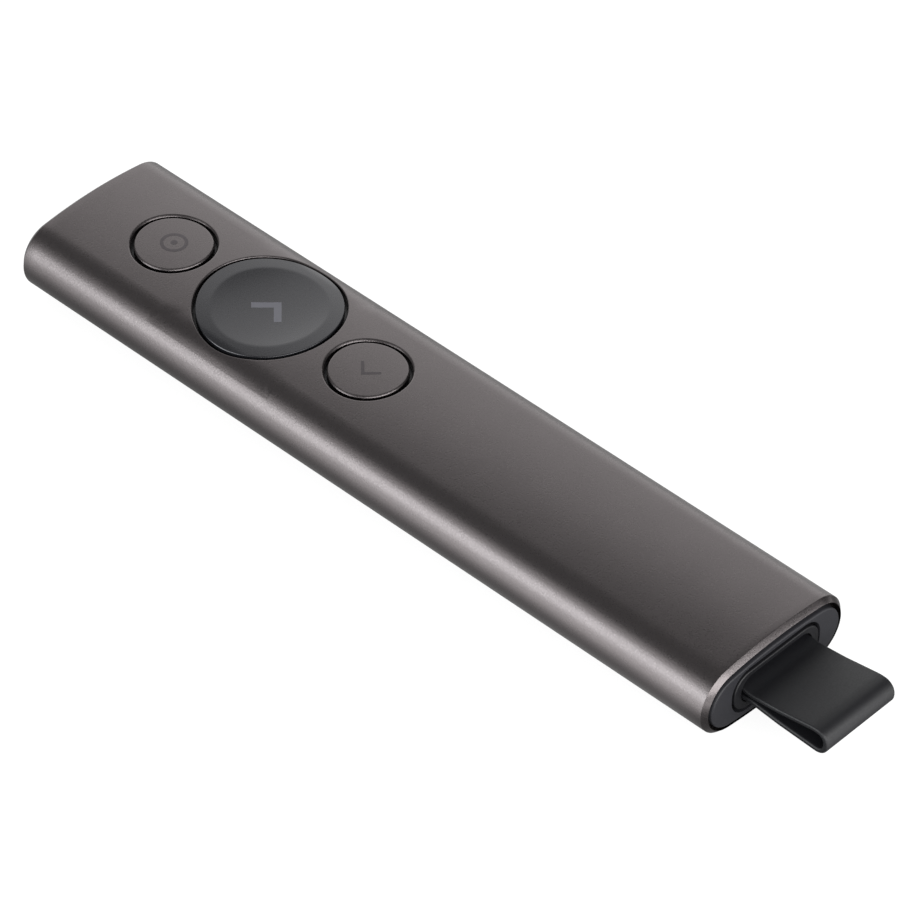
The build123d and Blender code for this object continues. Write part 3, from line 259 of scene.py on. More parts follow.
# %% [markdown]
# ## The sleeve's section
#
# An extruded sleeve has one section all along. Here it is two shallow crown arcs and two tight side
# arcs that meet them smoothly. Points are placed by the direction of their outward normal, so the
# same list, pulled in along those normals, gives every offset section: the wall's inside, the rims
# and the plates that fit them.

# %% Section of the body
CROWN_LIFT = 0.55 * MM
SIDE_RADIUS = MID_Z - CROWN_LIFT
SIDE_CENTRE = HALF_WIDTH - SIDE_RADIUS
CROWN_RADIUS = (SIDE_CENTRE**2 + MID_Z**2 - SIDE_RADIUS**2) / (2 * CROWN_LIFT)
TURN = atan2(SIDE_CENTRE, CROWN_RADIUS - MID_Z)
CROWN_POINTS = 28
SIDE_POINTS = 32


def lens_angles():
    """Normal directions round the section, from the middle of the underside and back to it."""
    half = CROWN_POINTS // 2
    spans = ((-pi, TURN - pi, half), (TURN - pi, -TURN, SIDE_POINTS), (-TURN, TURN, CROWN_POINTS),
             (TURN, pi - TURN, SIDE_POINTS), (pi - TURN, pi, half))
    return np.concatenate([np.linspace(a, b, n, endpoint=False) for a, b, n in spans])


def lens_points(angles, inset):
    """x and z of the section at some normal directions, set in by a length."""
    flat = np.abs(np.sin(angles)) < sin(TURN)
    top = np.cos(angles) > 0
    centre_x = np.where(flat, 0, np.sign(angles) * SIDE_CENTRE)
    centre_z = np.where(flat, np.where(top, HEIGHT - CROWN_RADIUS, CROWN_RADIUS), MID_Z)
    radius = np.where(flat, CROWN_RADIUS, SIDE_RADIUS) - inset
    return centre_x + radius * np.sin(angles), centre_z + radius * np.cos(angles)


def skin_z(x, inset=0.0):
    """Height of the upper surface over a distance from the middle plane."""
    x = np.abs(x)
    crown = CROWN_RADIUS - inset
    side = SIDE_RADIUS - inset
    on_crown = HEIGHT - CROWN_RADIUS + np.sqrt(np.maximum(crown**2 - x**2, 0))
    on_side = MID_Z + np.sqrt(np.maximum(side**2 - (x - SIDE_CENTRE)**2, 0))
    return np.where(x <= crown * sin(TURN), on_crown, on_side)


ANGLES = lens_angles()
print(len(ANGLES), "points round the section, crown radius", round(CROWN_RADIUS / MM, 1), "mm")

# %% [markdown]
# ## A skin from rings
#
# Most pieces here are rings of points with quads between neighbours, because a ring can follow a
# formula exactly where a modifier would only come close. One small class collects the points,
# bridges the rings and makes the mesh. It shades smooth and breaks the shading only where two faces
# meet at more than 30 degrees, as a real edge would.

# %% Skin builder
SHARP = radians(30)
WELD = 1e-7


def settle(mesh, name):
    """Merges doubles, turns faces outward, shades the mesh and puts it in the scene."""
    work = bmesh.new()
    work.from_mesh(mesh)
    bmesh.ops.remove_doubles(work, verts=work.verts, dist=WELD)
    bmesh.ops.recalc_face_normals(work, faces=work.faces)
    if work.calc_volume(signed=True) < 0:
        bmesh.ops.reverse_faces(work, faces=work.faces)
    work.to_mesh(mesh)
    work.free()
    mesh.shade_smooth()
    mesh.set_sharp_from_angle(angle=SHARP)
    piece = bpy.data.objects.new(name, mesh)
    bpy.context.scene.collection.objects.link(piece)
    print(f"{name}: {len(mesh.vertices)} points, {len(mesh.polygons)} faces")
    return piece


class Skin:
    def __init__(self):
        self.points = []
        self.faces = []

    def ring(self, x, y, z):
        """Adds a ring of points and returns their numbers."""
        start = len(self.points)
        self.points.extend(zip(*[np.broadcast_to(v, np.shape(x)).tolist() for v in (x, y, z)]))
        return list(range(start, len(self.points)))

    def bridge(self, first, second, closed=True):
        count = len(first)
        for i in range(count if closed else count - 1):
            j = (i + 1) % count
            self.faces.append((first[i], first[j], second[j], second[i]))

    def loft(self, rings):
        for first, second in zip(rings, rings[1:]):
            self.bridge(first, second)

    def cap(self, ring):
        self.faces.append(tuple(ring))

    def solid(self, rings):
        self.loft(rings)
        self.cap(rings[0])
        self.cap(rings[-1])

    def tipped(self, rings, tip):
        """Rings whose first one is closed by a fan round a point, and whose last one is capped."""
        self.loft(rings)
        centre = self.ring([tip[0]], [tip[1]], [tip[2]])[0]
        first = rings[0]
        for i, point in enumerate(first):
            self.faces.append((point, first[(i + 1) % len(first)], centre))
        self.cap(rings[-1])

    def piece(self, name, material):
        mesh = bpy.data.meshes.new(name)
        mesh.from_pydata(self.points, [], self.faces)
        mesh.materials.append(material)
        return settle(mesh, name)


# %% Rounded profiles, section rings and seats
SOFT_EDGE = 0.05 * MM


def eased(corners, steps=3):
    """A profile through (u, v, radius) corners, rounded between its ends, as a list of (u, v)."""
    out = [corners[0][:2]]
    for before, (u, v, radius), after in zip(corners, corners[1:], corners[2:]):
        if radius == 0:
            out.append((u, v))
            continue
        here = Vector((u, v))
        a, b = (here + (Vector(side[:2]) - here).normalized() * radius for side in (before, after))
        for k in range(steps + 1):
            t = k / steps
            out.append(tuple(a * (1 - t)**2 + here * 2 * t * (1 - t) + b * t**2))
    return out + [corners[-1][:2]]


def lens_ring(skin, inset, y):
    x, z = lens_points(ANGLES, inset)
    return skin.ring(x, y, z)


def seat(piece, node, body=None):
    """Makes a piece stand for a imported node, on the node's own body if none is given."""
    packed = frame["nodes"][node]
    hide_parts(node)
    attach(piece, body or body_of(packed)[0])


# %% [markdown]
# ## Sleeve with its key holes
#
# The real sleeve is cut from an extrusion, bored for the keys, chamfered, bead-blasted and
# anodised. A boolean cut would leave slivers that catch the light, so the wall is woven instead: a
# grid of rows along the body, with each key's rectangle of cells swapped for rings that close in on
# its hole. Every point of a ring takes its height from the section, so the crown stays true.

# %% Rows along the body and a rectangle for each key
CELL = 0.7 * MM
LONG_CELL = 2.0 * MM
ROW_MARGIN = 0.3 * MM
FRONT_REBATE = 2.0 * MM
REAR_REBATE = 1.5 * MM


def rows_of(start, end, cell):
    return np.linspace(start, end, max(2, round((end - start) / cell) + 1)).tolist()


(back_radius, back_middle), (next_radius, next_middle) = KEYS["back"], KEYS["next"]
margin = (next_middle - next_radius - back_middle - back_radius) / 2
rectangles = [(name, middle - radius - margin, middle + radius + margin)
              for name, (radius, middle) in KEYS.items()]
rows = rows_of(REAR_Y + REAR_REBATE + ROW_MARGIN, rectangles[0][1], LONG_CELL)
for _, start, end in rectangles:
    rows += rows_of(start, end, CELL)[1:]
rows += rows_of(rectangles[-1][2], FRONT_Y - FRONT_REBATE - ROW_MARGIN, LONG_CELL)[1:]
print(len(rows), "rows")

# %% One face of the wall
SHOULDER_COLUMNS = 8
CLOSING_SHARES = (0.04, 0.3, 0.6, 0.85)
KEY_GAP = 0.44 * MM


def patch_columns(radius):
    """The crown's columns, and some of the shoulders for a key that nearly fills the width."""
    first = CROWN_POINTS // 2 + SIDE_POINTS
    reach = 0 if radius < SIDE_CENTRE else SHOULDER_COLUMNS
    return first - reach, first + CROWN_POINTS + reach


def rectangle_loop(grid, columns, lines):
    """Point numbers round a rectangle of the grid."""
    (left, right), (first, last) = columns, lines
    loop = [grid[first][i] for i in range(left, right)]
    loop += [grid[j][right] for j in range(first, last)]
    loop += [grid[last][i] for i in range(right, left, -1)]
    return loop + [grid[j][left] for j in range(last, first, -1)]


def close_in(skin, loop, middle, radii, inset):
    """Rings from a rectangle of the wall towards a hole; radii are (radius, drop) pairs."""
    edge = np.array([skin.points[i] for i in loop])
    x, y = edge[:, 0], edge[:, 1] - middle
    bearing = np.arctan2(y, x)
    outer = radii[0][0]
    rings = [loop]
    for share in CLOSING_SHARES:
        ring_x = x + (outer * np.cos(bearing) - x) * share
        ring_y = y + (outer * np.sin(bearing) - y) * share
        rings.append(skin.ring(ring_x, ring_y + middle, skin_z(ring_x, inset)))
    for radius, drop in radii:
        ring_x = radius * np.cos(bearing)
        ring_y = radius * np.sin(bearing) + middle
        rings.append(skin.ring(ring_x, ring_y, skin_z(ring_x, inset) - drop))
    skin.loft(rings)
    return rings[-1]


def wall(skin, inset, edge_of):
    """One face of the wall, with patches where the keys are. Returns its grid and hole rims."""
    grid = [lens_ring(skin, inset, y) for y in rows]
    skipped = set()
    rims = []
    for name, start, end in rectangles:
        radius, middle = KEYS[name]
        columns = patch_columns(radius)
        lines = [int(np.abs(np.array(rows) - y).argmin()) for y in (start, end)]
        skipped |= {(j, i) for j in range(*lines) for i in range(*columns)}
        radii = [(radius + KEY_GAP + grow, drop) for grow, drop in edge_of(name)]
        loop = rectangle_loop(grid, columns, lines)
        rims.append(close_in(skin, loop, middle, radii, inset))
    count = len(ANGLES)
    for j in range(len(rows) - 1):
        for i in range(count):
            if (j, i) not in skipped:
                k = (i + 1) % count
                skin.faces.append((grid[j][i], grid[j][k], grid[j + 1][k], grid[j + 1][i]))
    return grid, rims


# %% Sleeve
SLEEVE_WALL = 1.2 * MM
RIM_WALL = 0.74 * MM
RIM_CHAMFER = 0.7 * MM
LIP_SHARE = 0.45
HOLE_EDGES = {"pointer": 0.28 * MM, "next": 0.16 * MM, "back": 0.28 * MM}
HOLE_MARGIN = 0.15 * MM
EDGE_SOFTNESS = 0.4
EDGE_LAND = 0.6 * MM


def hole_section(name):
    """Growth past the hole and depth under the skin, from the skin over the edge into the hole."""
    edge = HOLE_EDGES[name]
    soft = edge * EDGE_SOFTNESS
    return eased([(edge + HOLE_MARGIN, 0, 0), (edge, 0, soft), (0, edge, soft), (0, EDGE_LAND, 0)])


def rim_section(rebate):
    """Inset and depth from the outer face, over the chamfer and the lip, to the inner face."""
    lip = min(SOFT_EDGE, (RIM_WALL - RIM_CHAMFER) * LIP_SHARE)
    return eased([(0, RIM_CHAMFER * 2, 0), (0, RIM_CHAMFER, SOFT_EDGE), (RIM_CHAMFER, 0, lip),
                  (RIM_WALL, 0, lip), (RIM_WALL, rebate, 0), (SLEEVE_WALL, rebate, 0)])[1:]


def make_sleeve():
    skin = Skin()
    outer, outer_rims = wall(skin, 0.0, hole_section)
    inner, inner_rims = wall(skin, SLEEVE_WALL, lambda name: [(0.0, 0.0)])
    for upper, lower in zip(outer_rims, inner_rims):
        skin.bridge(upper, lower)
    for end, row, way, rebate in ((REAR_Y, 0, 1, REAR_REBATE), (FRONT_Y, -1, -1, FRONT_REBATE)):
        rims = [lens_ring(skin, inset, end + way * depth) for inset, depth in rim_section(rebate)]
        skin.loft([outer[row], *rims, inner[row]])
    return skin.piece("sleeve_skin", anodised)


seat(make_sleeve(), "sleeve", "remote")

# %% [markdown]
# ## Key caps
#
# The two small keys are of the same aluminium as the sleeve and follow its crown, so they read as
# discs cut out of it. The large key is moulded and dished for the thumb. A sculpted dish is hard to
# repeat, so each cap is rings round its middle, and one height rule gives the top: the crown, or
# the dish where that is lower, with a short blend for the soft lip of a moulded part.

# %% Height of a cap
DISH_RIM = 2.1 * MM
DISH_RADIUS = next_radius - DISH_RIM
DISH_SIDE_DEPTH = 0.21 * MM
DISH_BLEND = 0.02 * MM
dish_bottom = float(skin_z(DISH_RADIUS)) - DISH_SIDE_DEPTH
dish_depth = HEIGHT - dish_bottom
DISH_ALONG = (DISH_RADIUS**2 + dish_depth**2) / (2 * dish_depth)
DISH_ACROSS = (DISH_RADIUS**2 + DISH_SIDE_DEPTH**2) / (2 * DISH_SIDE_DEPTH)


def dish_z(x, y):
    """The hollow: an arc along the key, turned about a line far above it."""
    lift = DISH_ALONG - np.sqrt(DISH_ALONG**2 - y**2)
    return dish_bottom + DISH_ACROSS - np.sqrt((DISH_ACROSS - lift)**2 - x**2)


def cap_z(name, x, y):
    """Height of a key's top at a place; y is from the key's middle."""
    crown = skin_z(x)
    if name != "next":
        return crown
    dish = dish_z(x, y)
    return (crown + dish - np.sqrt((crown - dish)**2 + DISH_BLEND**2)) / 2


# %% Caps
KEY_EDGES = {"pointer": 0.2 * MM, "next": 0.08 * MM, "back": 0.2 * MM}
CAP_RINGS = {"pointer": 14, "next": 60, "back": 14}
CAP_POINTS = 144
FIRST_RING = 0.5 * MM


def make_cap(name, material):
    radius, middle = KEYS[name]
    edge = KEY_EDGES[name]
    soft = edge * EDGE_SOFTNESS
    section = [(r, 0.0) for r in np.linspace(FIRST_RING, radius - 2 * edge, CAP_RINGS[name])]
    section += [(radius - edge + grow, drop) for grow, drop in eased(
        [(-edge, 0, 0), (0, 0, soft), (edge, edge, soft), (edge, EDGE_LAND, 0)])[1:]]
    bearing = np.linspace(-pi, pi, CAP_POINTS, endpoint=False)
    skin = Skin()
    rings = []
    for r, drop in section:
        x, y = r * np.cos(bearing), r * np.sin(bearing)
        rings.append(skin.ring(x, y + middle, cap_z(name, x, y) - drop))
    rings.append(skin.ring(x, y + middle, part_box(f"{name}_key_cap")[0][2]))
    skin.tipped(rings, (0, middle, float(cap_z(name, 0.0, 0.0))))
    return skin.piece(f"{name}_cap", material)


for name in KEYS:
    material, slot = ((key_plastic, "key_plastic") if name == "next"
                      else (anodised, "anodised_aluminium"))
    seat(make_cap(name, material), f"{name}_key_cap", f"{name}_key")

# %% [markdown]
# ## Signs on the keys
#
# The signs are printed: a ring with a dot for the pointer, a large corner for "next" and a small
# one for "back". They could be masks in the keys' finish, but a film keeps a sharp outline at any
# distance. Each film follows the key's own surface, cut fine enough to lie on the dish without
# poking through it.

# %% Films and their outlines
INK = 0.012 * MM


def film(name, key, material, lanes, closed=False):
    """A film over a key. lanes are lines of (x, y) from the key's middle, side by side."""
    skin = Skin()
    middle = KEYS[key][1]
    low, high = [], []
    for sheet, height in ((low, -INK), (high, INK)):
        for lane in lanes:
            x, y = np.transpose(lane)
            sheet.append(skin.ring(x, y + middle, cap_z(key, x, y) + height))
        for first, second in zip(sheet, sheet[1:]):
            skin.bridge(first, second, closed)
    for edge in (0, -1):
        if np.ptp(lanes[edge], axis=0).max() > 0:
            skin.bridge(low[edge], high[edge], closed)
        if not closed:
            skin.bridge([lane[edge] for lane in low], [lane[edge] for lane in high], closed=False)
    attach(skin.piece(name, material), f"{key}_key")


def corner_lanes(apex, side, width, way, lanes=5, cells=12):
    """A square corner whose outer point is apex and which points along way on x."""
    apex, low, high = np.array(apex), np.array((-way, -1)) / sqrt(2), np.array((-way, 1)) / sqrt(2)
    steps = np.linspace(0, 1, cells)[:, None]
    out = []
    for across in np.linspace(0, width, lanes):
        bend = apex + (low + high) * across
        start = apex + low * side + high * across
        end = apex + high * side + low * across
        out.append(np.vstack((start + (bend - start) * steps, bend + (end - bend) * steps[1:])))
    return out


def ring_lanes(centre, inner, outer, lanes=3, cells=48):
    turn = np.linspace(0, 2 * pi, cells, endpoint=False)
    return [[(centre[0] + radius * cos(a), centre[1] + radius * sin(a)) for a in turn]
            for radius in np.linspace(inner, outer, lanes)]


# %% Signs
TARGET = (0.08 * MM, 0.06 * MM)
film("next_sign", "next", ink_next,
     corner_lanes((2.1 * MM, -0.2 * MM), side=4.27 * MM, width=1.1 * MM, way=1))
film("back_sign", "back", ink_small,
     corner_lanes((-1.55 * MM, -0.1 * MM), side=2.8 * MM, width=0.48 * MM, way=-1))
film("pointer_ring", "pointer", ink_small, ring_lanes(TARGET, 1.52 * MM, 2.03 * MM), closed=True)
film("pointer_dot", "pointer", ink_small, ring_lanes(TARGET, 0, 0.5 * MM), closed=True)

# %% [markdown]
# ## The two ends
#
# Each end is closed by a moulded plate inside the rim, with a narrow gap all round. The front one
# is plain. The dock's is a frame round the receiver's opening, and both of its edges are eased,
# which draws the fine light line round such parts. A bevel would need its edges picked out first,
# so the rings carry the roundings themselves.

# %% Front cap
PLATE_INSET = 1.22 * MM
PLATE_EDGE = 0.34 * MM
PLATE_STEPS = 5


def make_front_cap():
    back_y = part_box("front_bulkhead")[1][1]
    face_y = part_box("front_cap")[1][1]
    skin = Skin()
    skin.solid([lens_ring(skin, inset, y) for inset, y in eased(
        [(PLATE_INSET + 4 * PLATE_EDGE, face_y, 0), (PLATE_INSET, face_y, PLATE_EDGE),
         (PLATE_INSET, back_y, 0)], PLATE_STEPS)])
    return skin.piece("front_cap_skin", end_plastic)


seat(make_front_cap(), "front_cap", "remote")

# %% Rounded openings
SLOT_CORNER_POINTS = 24
SLOT_SIDE_POINTS = 12


def slot_outline(width, height, corner):
    """Points and outward normals round a rounded rectangle, from its lower left corner."""
    points, normals = [], []
    half_w, half_h = width / 2 - corner, height / 2 - corner
    corners = ((-1, -1, pi), (1, -1, -pi / 2), (1, 1, 0), (-1, 1, pi / 2))
    for index, (sx, sz, start) in enumerate(corners):
        here = np.array((sx * half_w, sz * half_h))
        for a in np.linspace(start, start + pi / 2, SLOT_CORNER_POINTS):
            normals.append((cos(a), sin(a)))
            points.append(here + corner * np.array(normals[-1]))
        near, facing = points[-1], normals[-1]
        nx, nz = corners[(index + 1) % 4][:2]
        far = np.array((nx * half_w, nz * half_h)) + corner * np.array(facing)
        for t in np.linspace(0, 1, SLOT_SIDE_POINTS + 2)[1:-1]:
            points.append(near * (1 - t) + far * t)
            normals.append(facing)
    return np.array(points), np.array(normals)


def slot_rings(skin, outline, section):
    """Rings of a rounded rectangle through (inset, y, radius) corners."""
    points, normals = outline
    shapes = [(points - normals * inset, y) for inset, y in eased(section)]
    return [skin.ring(shape[:, 0], y, shape[:, 1] + MID_Z) for shape, y in shapes]


# %% Dock plate
PLATE_DROP = 0.3 * MM
PLATE_SUNK = 0.12 * MM
RECEIVER_CORNER = 2.95 * MM
RECEIVER_GAP = 0.4 * MM
DENSE_POINTS = 4000
receiver_low, receiver_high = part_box("receiver_housing")
receiver_width = receiver_high[0] - receiver_low[0]
receiver_height = receiver_high[2] - receiver_low[2]
opening = slot_outline(receiver_width + 2 * RECEIVER_GAP, receiver_height + 2 * RECEIVER_GAP,
                       RECEIVER_CORNER + RECEIVER_GAP)


def lens_ring_facing(skin, outline, inset, y):
    """A ring inside the body's section, lower at its top, whose points face those of a slot."""
    dense = np.linspace(-pi, pi, DENSE_POINTS, endpoint=False)
    x, z = lens_points(dense, inset + PLATE_DROP * np.maximum(np.cos(dense), 0))
    bearing = np.arctan2(z - MID_Z, x)
    order = np.argsort(bearing)
    want = np.arctan2(outline[0][:, 1], outline[0][:, 0])
    ring_x, ring_z = (np.interp(want, bearing[order], values[order], period=2 * pi)
                      for values in (x, z))
    return skin.ring(ring_x, y, ring_z)


def make_dock_plate():
    face_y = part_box("dock_plate")[0][1] + PLATE_SUNK
    back_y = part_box("receiver_dock")[0][1]
    skin = Skin()
    rings = [lens_ring_facing(skin, opening, inset, y) for inset, y in eased(
        [(PLATE_INSET, back_y, 0), (PLATE_INSET, face_y, PLATE_EDGE),
         (PLATE_INSET + 3 * PLATE_EDGE, face_y, 0)], PLATE_STEPS)[:-1]]
    rings += slot_rings(skin, opening, [(-2 * SOFT_EDGE, face_y, 0), (0, face_y, SOFT_EDGE),
                                        (0, back_y, 0)])
    skin.loft(rings + rings[:1])
    return skin.piece("dock_plate_skin", end_plastic)


seat(make_dock_plate(), "dock_plate", "remote")

# %% [markdown]
# ## The receiver's tail
#
# Parked, the receiver shows only its tail: a thin moulded shell with a small bevel, and inside it
# the insert that the strap comes out of. Both are rings of one rounded rectangle, so the shell
# wall keeps its thickness round the corners, which scaling an outline would not do.

# %% Receiver housing
RECEIVER_WALL = 0.65 * MM
RECEIVER_EDGE = 0.12 * MM
WALL_OVERLAP = 1.0 * MM
NOSE_INSET = 1.2 * MM
HEIGHT_TRIM = 0.4 * MM
CORNER_TRIM = 0.1 * MM
receiver = slot_outline(receiver_width, receiver_height - HEIGHT_TRIM,
                        RECEIVER_CORNER - CORNER_TRIM)
insert_low, insert_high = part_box("receiver_insert")


def make_housing():
    tail, nose = receiver_low[1], receiver_high[1]
    skin = Skin()
    skin.solid(slot_rings(skin, receiver, [
        (RECEIVER_WALL, insert_low[1] + WALL_OVERLAP, 0), (RECEIVER_WALL, tail, 0),
        (RECEIVER_EDGE, tail, SOFT_EDGE), (0, tail + RECEIVER_EDGE, SOFT_EDGE),
        (0, nose - RECEIVER_EDGE, SOFT_EDGE), (RECEIVER_EDGE, nose, SOFT_EDGE),
        (NOSE_INSET, nose, 0)]))
    return skin.piece("receiver_shell", receiver_plastic)


seat(make_housing(), "receiver_housing", "receiver")

# %% Receiver insert
INSERT_GAP = 0.005 * MM
INSERT_SUNK = 0.01 * MM
STRAP_PLAY = 0.4 * MM
MOUTH_HEIGHT = 4.8 * MM
MOUTH_CORNER = 2.2 * MM
MOUTH_MARGIN = 0.05 * MM
MOUTH_EDGE = 0.02 * MM
MOUTH_LIP = 0.3 * MM
MOUTH_DEPTH = 1.1 * MM
SLOT_HEIGHT = 3.6 * MM
SLOT_CORNER = 0.6 * MM
SLOT_LEDGE = 0.25 * MM
SLOT_END = 0.6 * MM
strap_low, strap_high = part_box("strap")
strap_width = strap_high[0] - strap_low[0]


def make_insert():
    """Flush at its two sides. The pocket between them flares past its lip, to clear the slot."""
    wall_inset = RECEIVER_WALL + INSERT_GAP
    tail = receiver_low[1] + INSERT_SUNK
    floor_y = receiver_low[1] + MOUTH_DEPTH
    mouth = slot_outline(strap_width + STRAP_PLAY, MOUTH_HEIGHT, MOUTH_CORNER)
    slot = slot_outline(strap_width + STRAP_PLAY, SLOT_HEIGHT, SLOT_CORNER)
    skin = Skin()
    rings = slot_rings(skin, receiver, [(wall_inset, insert_high[1], 0), (wall_inset, tail, 0)])
    rings += slot_rings(skin, mouth, [(-MOUTH_MARGIN, tail, 0), (0, tail, MOUTH_EDGE),
                                      (0, tail + MOUTH_LIP, 0)])
    rings += slot_rings(skin, slot, [(-SLOT_LEDGE, floor_y, 0), (0, floor_y, SOFT_EDGE),
                                     (0, insert_high[1] - SLOT_END, 0)])
    skin.solid(rings)
    return skin.piece("receiver_insert_skin", receiver_plastic)


seat(make_insert(), "receiver_insert", "receiver")

# %% [markdown]
# ## The strap
#
# The pull strap is one moulded silicone band, looped round a pin and folded over at its far end.
# Its shape is a path with a constant flat section, which is what the Geometry Nodes Curve to Mesh
# node makes. The path goes in as a plain polyline, Fillet Curve rounds its corners, and the section
# is a rectangle whose own corners are filleted too, for the soft edge of a moulded band.

# %% Geometry Nodes helpers
def node_tree(name, **inputs):
    """A Geometry Nodes tree with named inputs besides its geometry, and their sockets."""
    tree = bpy.data.node_groups.new(name, "GeometryNodeTree")
    tree.interface.new_socket("Geometry", in_out="INPUT", socket_type="NodeSocketGeometry")
    tree.interface.new_socket("Geometry", in_out="OUTPUT", socket_type="NodeSocketGeometry")
    for label, kind in inputs.items():
        tree.interface.new_socket(label, in_out="INPUT", socket_type=f"NodeSocket{kind}")
    return tree, tree.nodes.new("NodeGroupInput").outputs


def end_tree(tree, geometry, material):
    """Makes the geometry real, gives it a material and hands it out."""
    real = add(tree, "GeometryNodeRealizeInstances", {"Geometry": geometry})
    painted = add(tree, "GeometryNodeSetMaterial", {"Geometry": real, "Material": material})
    add(tree, "NodeGroupOutput", {"Geometry": painted})
    return tree


def soft_rectangle(tree, width, height, corner, steps):
    outline = add(tree, "GeometryNodeCurvePrimitiveQuadrilateral",
                  {"Width": width, "Height": height}, mode="RECTANGLE")
    return add(tree, "GeometryNodeFilletCurve",
               {"Curve": outline, "Radius": corner, "Count": steps}, mode="POLY")


def wire_mesh(name, places, edges=()):
    mesh = bpy.data.meshes.new(name)
    mesh.from_pydata([tuple(map(float, place)) for place in places], edges, [])
    return mesh


def grown(name, start_mesh, tree, values):
    """Runs a tree on a mesh with the given inputs and returns the result as a plain piece."""
    carrier = bpy.data.objects.new(f"{name}_carrier", start_mesh)
    bpy.context.scene.collection.objects.link(carrier)
    modifier = carrier.modifiers.new("grow", "NODES")
    modifier.node_group = tree
    for item in tree.interface.items_tree:
        if item.in_out == "INPUT" and item.name in values:
            modifier[item.identifier] = values[item.name]
    evaluated = carrier.evaluated_get(bpy.context.evaluated_depsgraph_get())
    mesh = bpy.data.meshes.new_from_object(evaluated)
    mesh.name = name
    carrier.modifiers.clear()
    bpy.data.objects.remove(carrier)
    return settle(mesh, name)


# %% Strap path
STRAP_THICKNESS = 0.8 * MM
FOLD_HEIGHT = 3.36 * MM
FOLD_RUN = 2.3 * MM
BELLY, BELLY_HALF = 6.153 * MM, 1.0 * MM
NECK, NECK_HALF = 1.4 * MM, 0.5 * MM
PIN_LOOP = 1.05 * MM
PIN_BEND = 0.87 * MM
FOLD_BEND = 1.5 * MM
LONG_BEND = 5 * MM
dock_face = receiver_low[1]
far = dock_face - strap_low[1] - STRAP_THICKNESS / 2
near = dock_face - strap_high[1] + STRAP_THICKNESS / 2
top = strap_high[2] - MID_Z - STRAP_THICKNESS / 2
# The middle line: distance past the dock face, height over the middle, and bend of each corner.
corners = [(near, -PIN_LOOP, PIN_BEND), (NECK, -NECK_HALF, LONG_BEND),
           (BELLY, -BELLY_HALF, LONG_BEND), (far, top - FOLD_HEIGHT, FOLD_BEND),
           (far, top, FOLD_BEND), (far - FOLD_RUN, top, LONG_BEND),
           (BELLY, BELLY_HALF, LONG_BEND), (NECK, NECK_HALF, LONG_BEND),
           (near, PIN_LOOP, PIN_BEND)]
count = len(corners)
strap_path = wire_mesh("strap_path", [(0, dock_face - d, MID_Z + h) for d, h, _ in corners],
                       [(i, (i + 1) % count) for i in range(count)])
strap_path.attributes.new("bend", "FLOAT", "POINT").data.foreach_set(
    "value", [bend for _, _, bend in corners])
print(count, "corners on the strap's path")

# %% Strap
BEND_STEPS = 14
EDGE_STEPS = 5
STRAP_EDGE = 0.3 * MM
STRAP_STEP = 0.25 * MM


def band_tree():
    tree, given = node_tree("band_along_a_path", Width="Float", Thickness="Float", Edge="Float",
                            Step="Float", Material="Material")
    bend = add(tree, "GeometryNodeInputNamedAttribute", {"Name": "bend"}, data_type="FLOAT")
    path = add(tree, "GeometryNodeMeshToCurve", {"Mesh": given["Geometry"]})
    soft = add(tree, "GeometryNodeFilletCurve", {
        "Curve": path, "Radius": bend.outputs["Attribute"], "Count": BEND_STEPS}, mode="POLY")
    even = add(tree, "GeometryNodeResampleCurve", {"Curve": soft, "Length": given["Step"]},
               mode="LENGTH")
    flat = add(tree, "GeometryNodeSetCurveNormal", {"Curve": even, "Normal": (1, 0, 0)},
               mode="FREE")
    outline = soft_rectangle(tree, given["Width"], given["Thickness"], given["Edge"], EDGE_STEPS)
    band = add(tree, "GeometryNodeCurveToMesh", {"Curve": flat, "Profile Curve": outline})
    return end_tree(tree, band, given["Material"])


strap = grown("strap_band", strap_path, band_tree(), {
    "Width": strap_width, "Thickness": STRAP_THICKNESS, "Edge": STRAP_EDGE, "Step": STRAP_STEP,
    "Material": silicone})
seat(strap, "strap", "receiver")

# %% [markdown]
# ## Inside pieces
#
# Behind the skin are moulded frames, boards, cans and springs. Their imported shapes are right, but a
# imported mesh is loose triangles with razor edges, and no real edge is that sharp. So each is
# copied: its triangles are merged into whole faces, and every hard edge gets a small chamfer, as a
# mould, a punch or a tumbling drum leaves it.

# %% Merged copies with broken edges
FLAT_TURN = radians(0.5)
EDGE_SHARE = 0.12
EDGE_MOST = 0.12 * MM


def merged(node):
    """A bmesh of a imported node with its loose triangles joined."""
    packed = frame["nodes"][node].data
    work = bmesh.new()
    places = [work.verts.new(vertex.co) for vertex in packed.vertices]
    for face in packed.polygons:
        work.faces.new([places[i] for i in face.vertices])
    bmesh.ops.remove_doubles(work, verts=work.verts, dist=WELD)
    return work


def broken_edges(node, material):
    """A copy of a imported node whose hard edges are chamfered."""
    low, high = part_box(node)
    work = merged(node)
    bmesh.ops.dissolve_limit(work, angle_limit=FLAT_TURN, verts=work.verts, edges=work.edges)
    hard = [edge for edge in work.edges if edge.calc_face_angle(0) > SHARP]
    bmesh.ops.bevel(work, geom=hard, offset=min(EDGE_MOST, EDGE_SHARE * min(high - low)),
                    offset_type="OFFSET", segments=1, affect="EDGES", clamp_overlap=True)
    mesh = bpy.data.meshes.new(node)
    work.to_mesh(mesh)
    work.free()
    mesh.materials.append(material)
    return settle(mesh, f"{node}_finished")


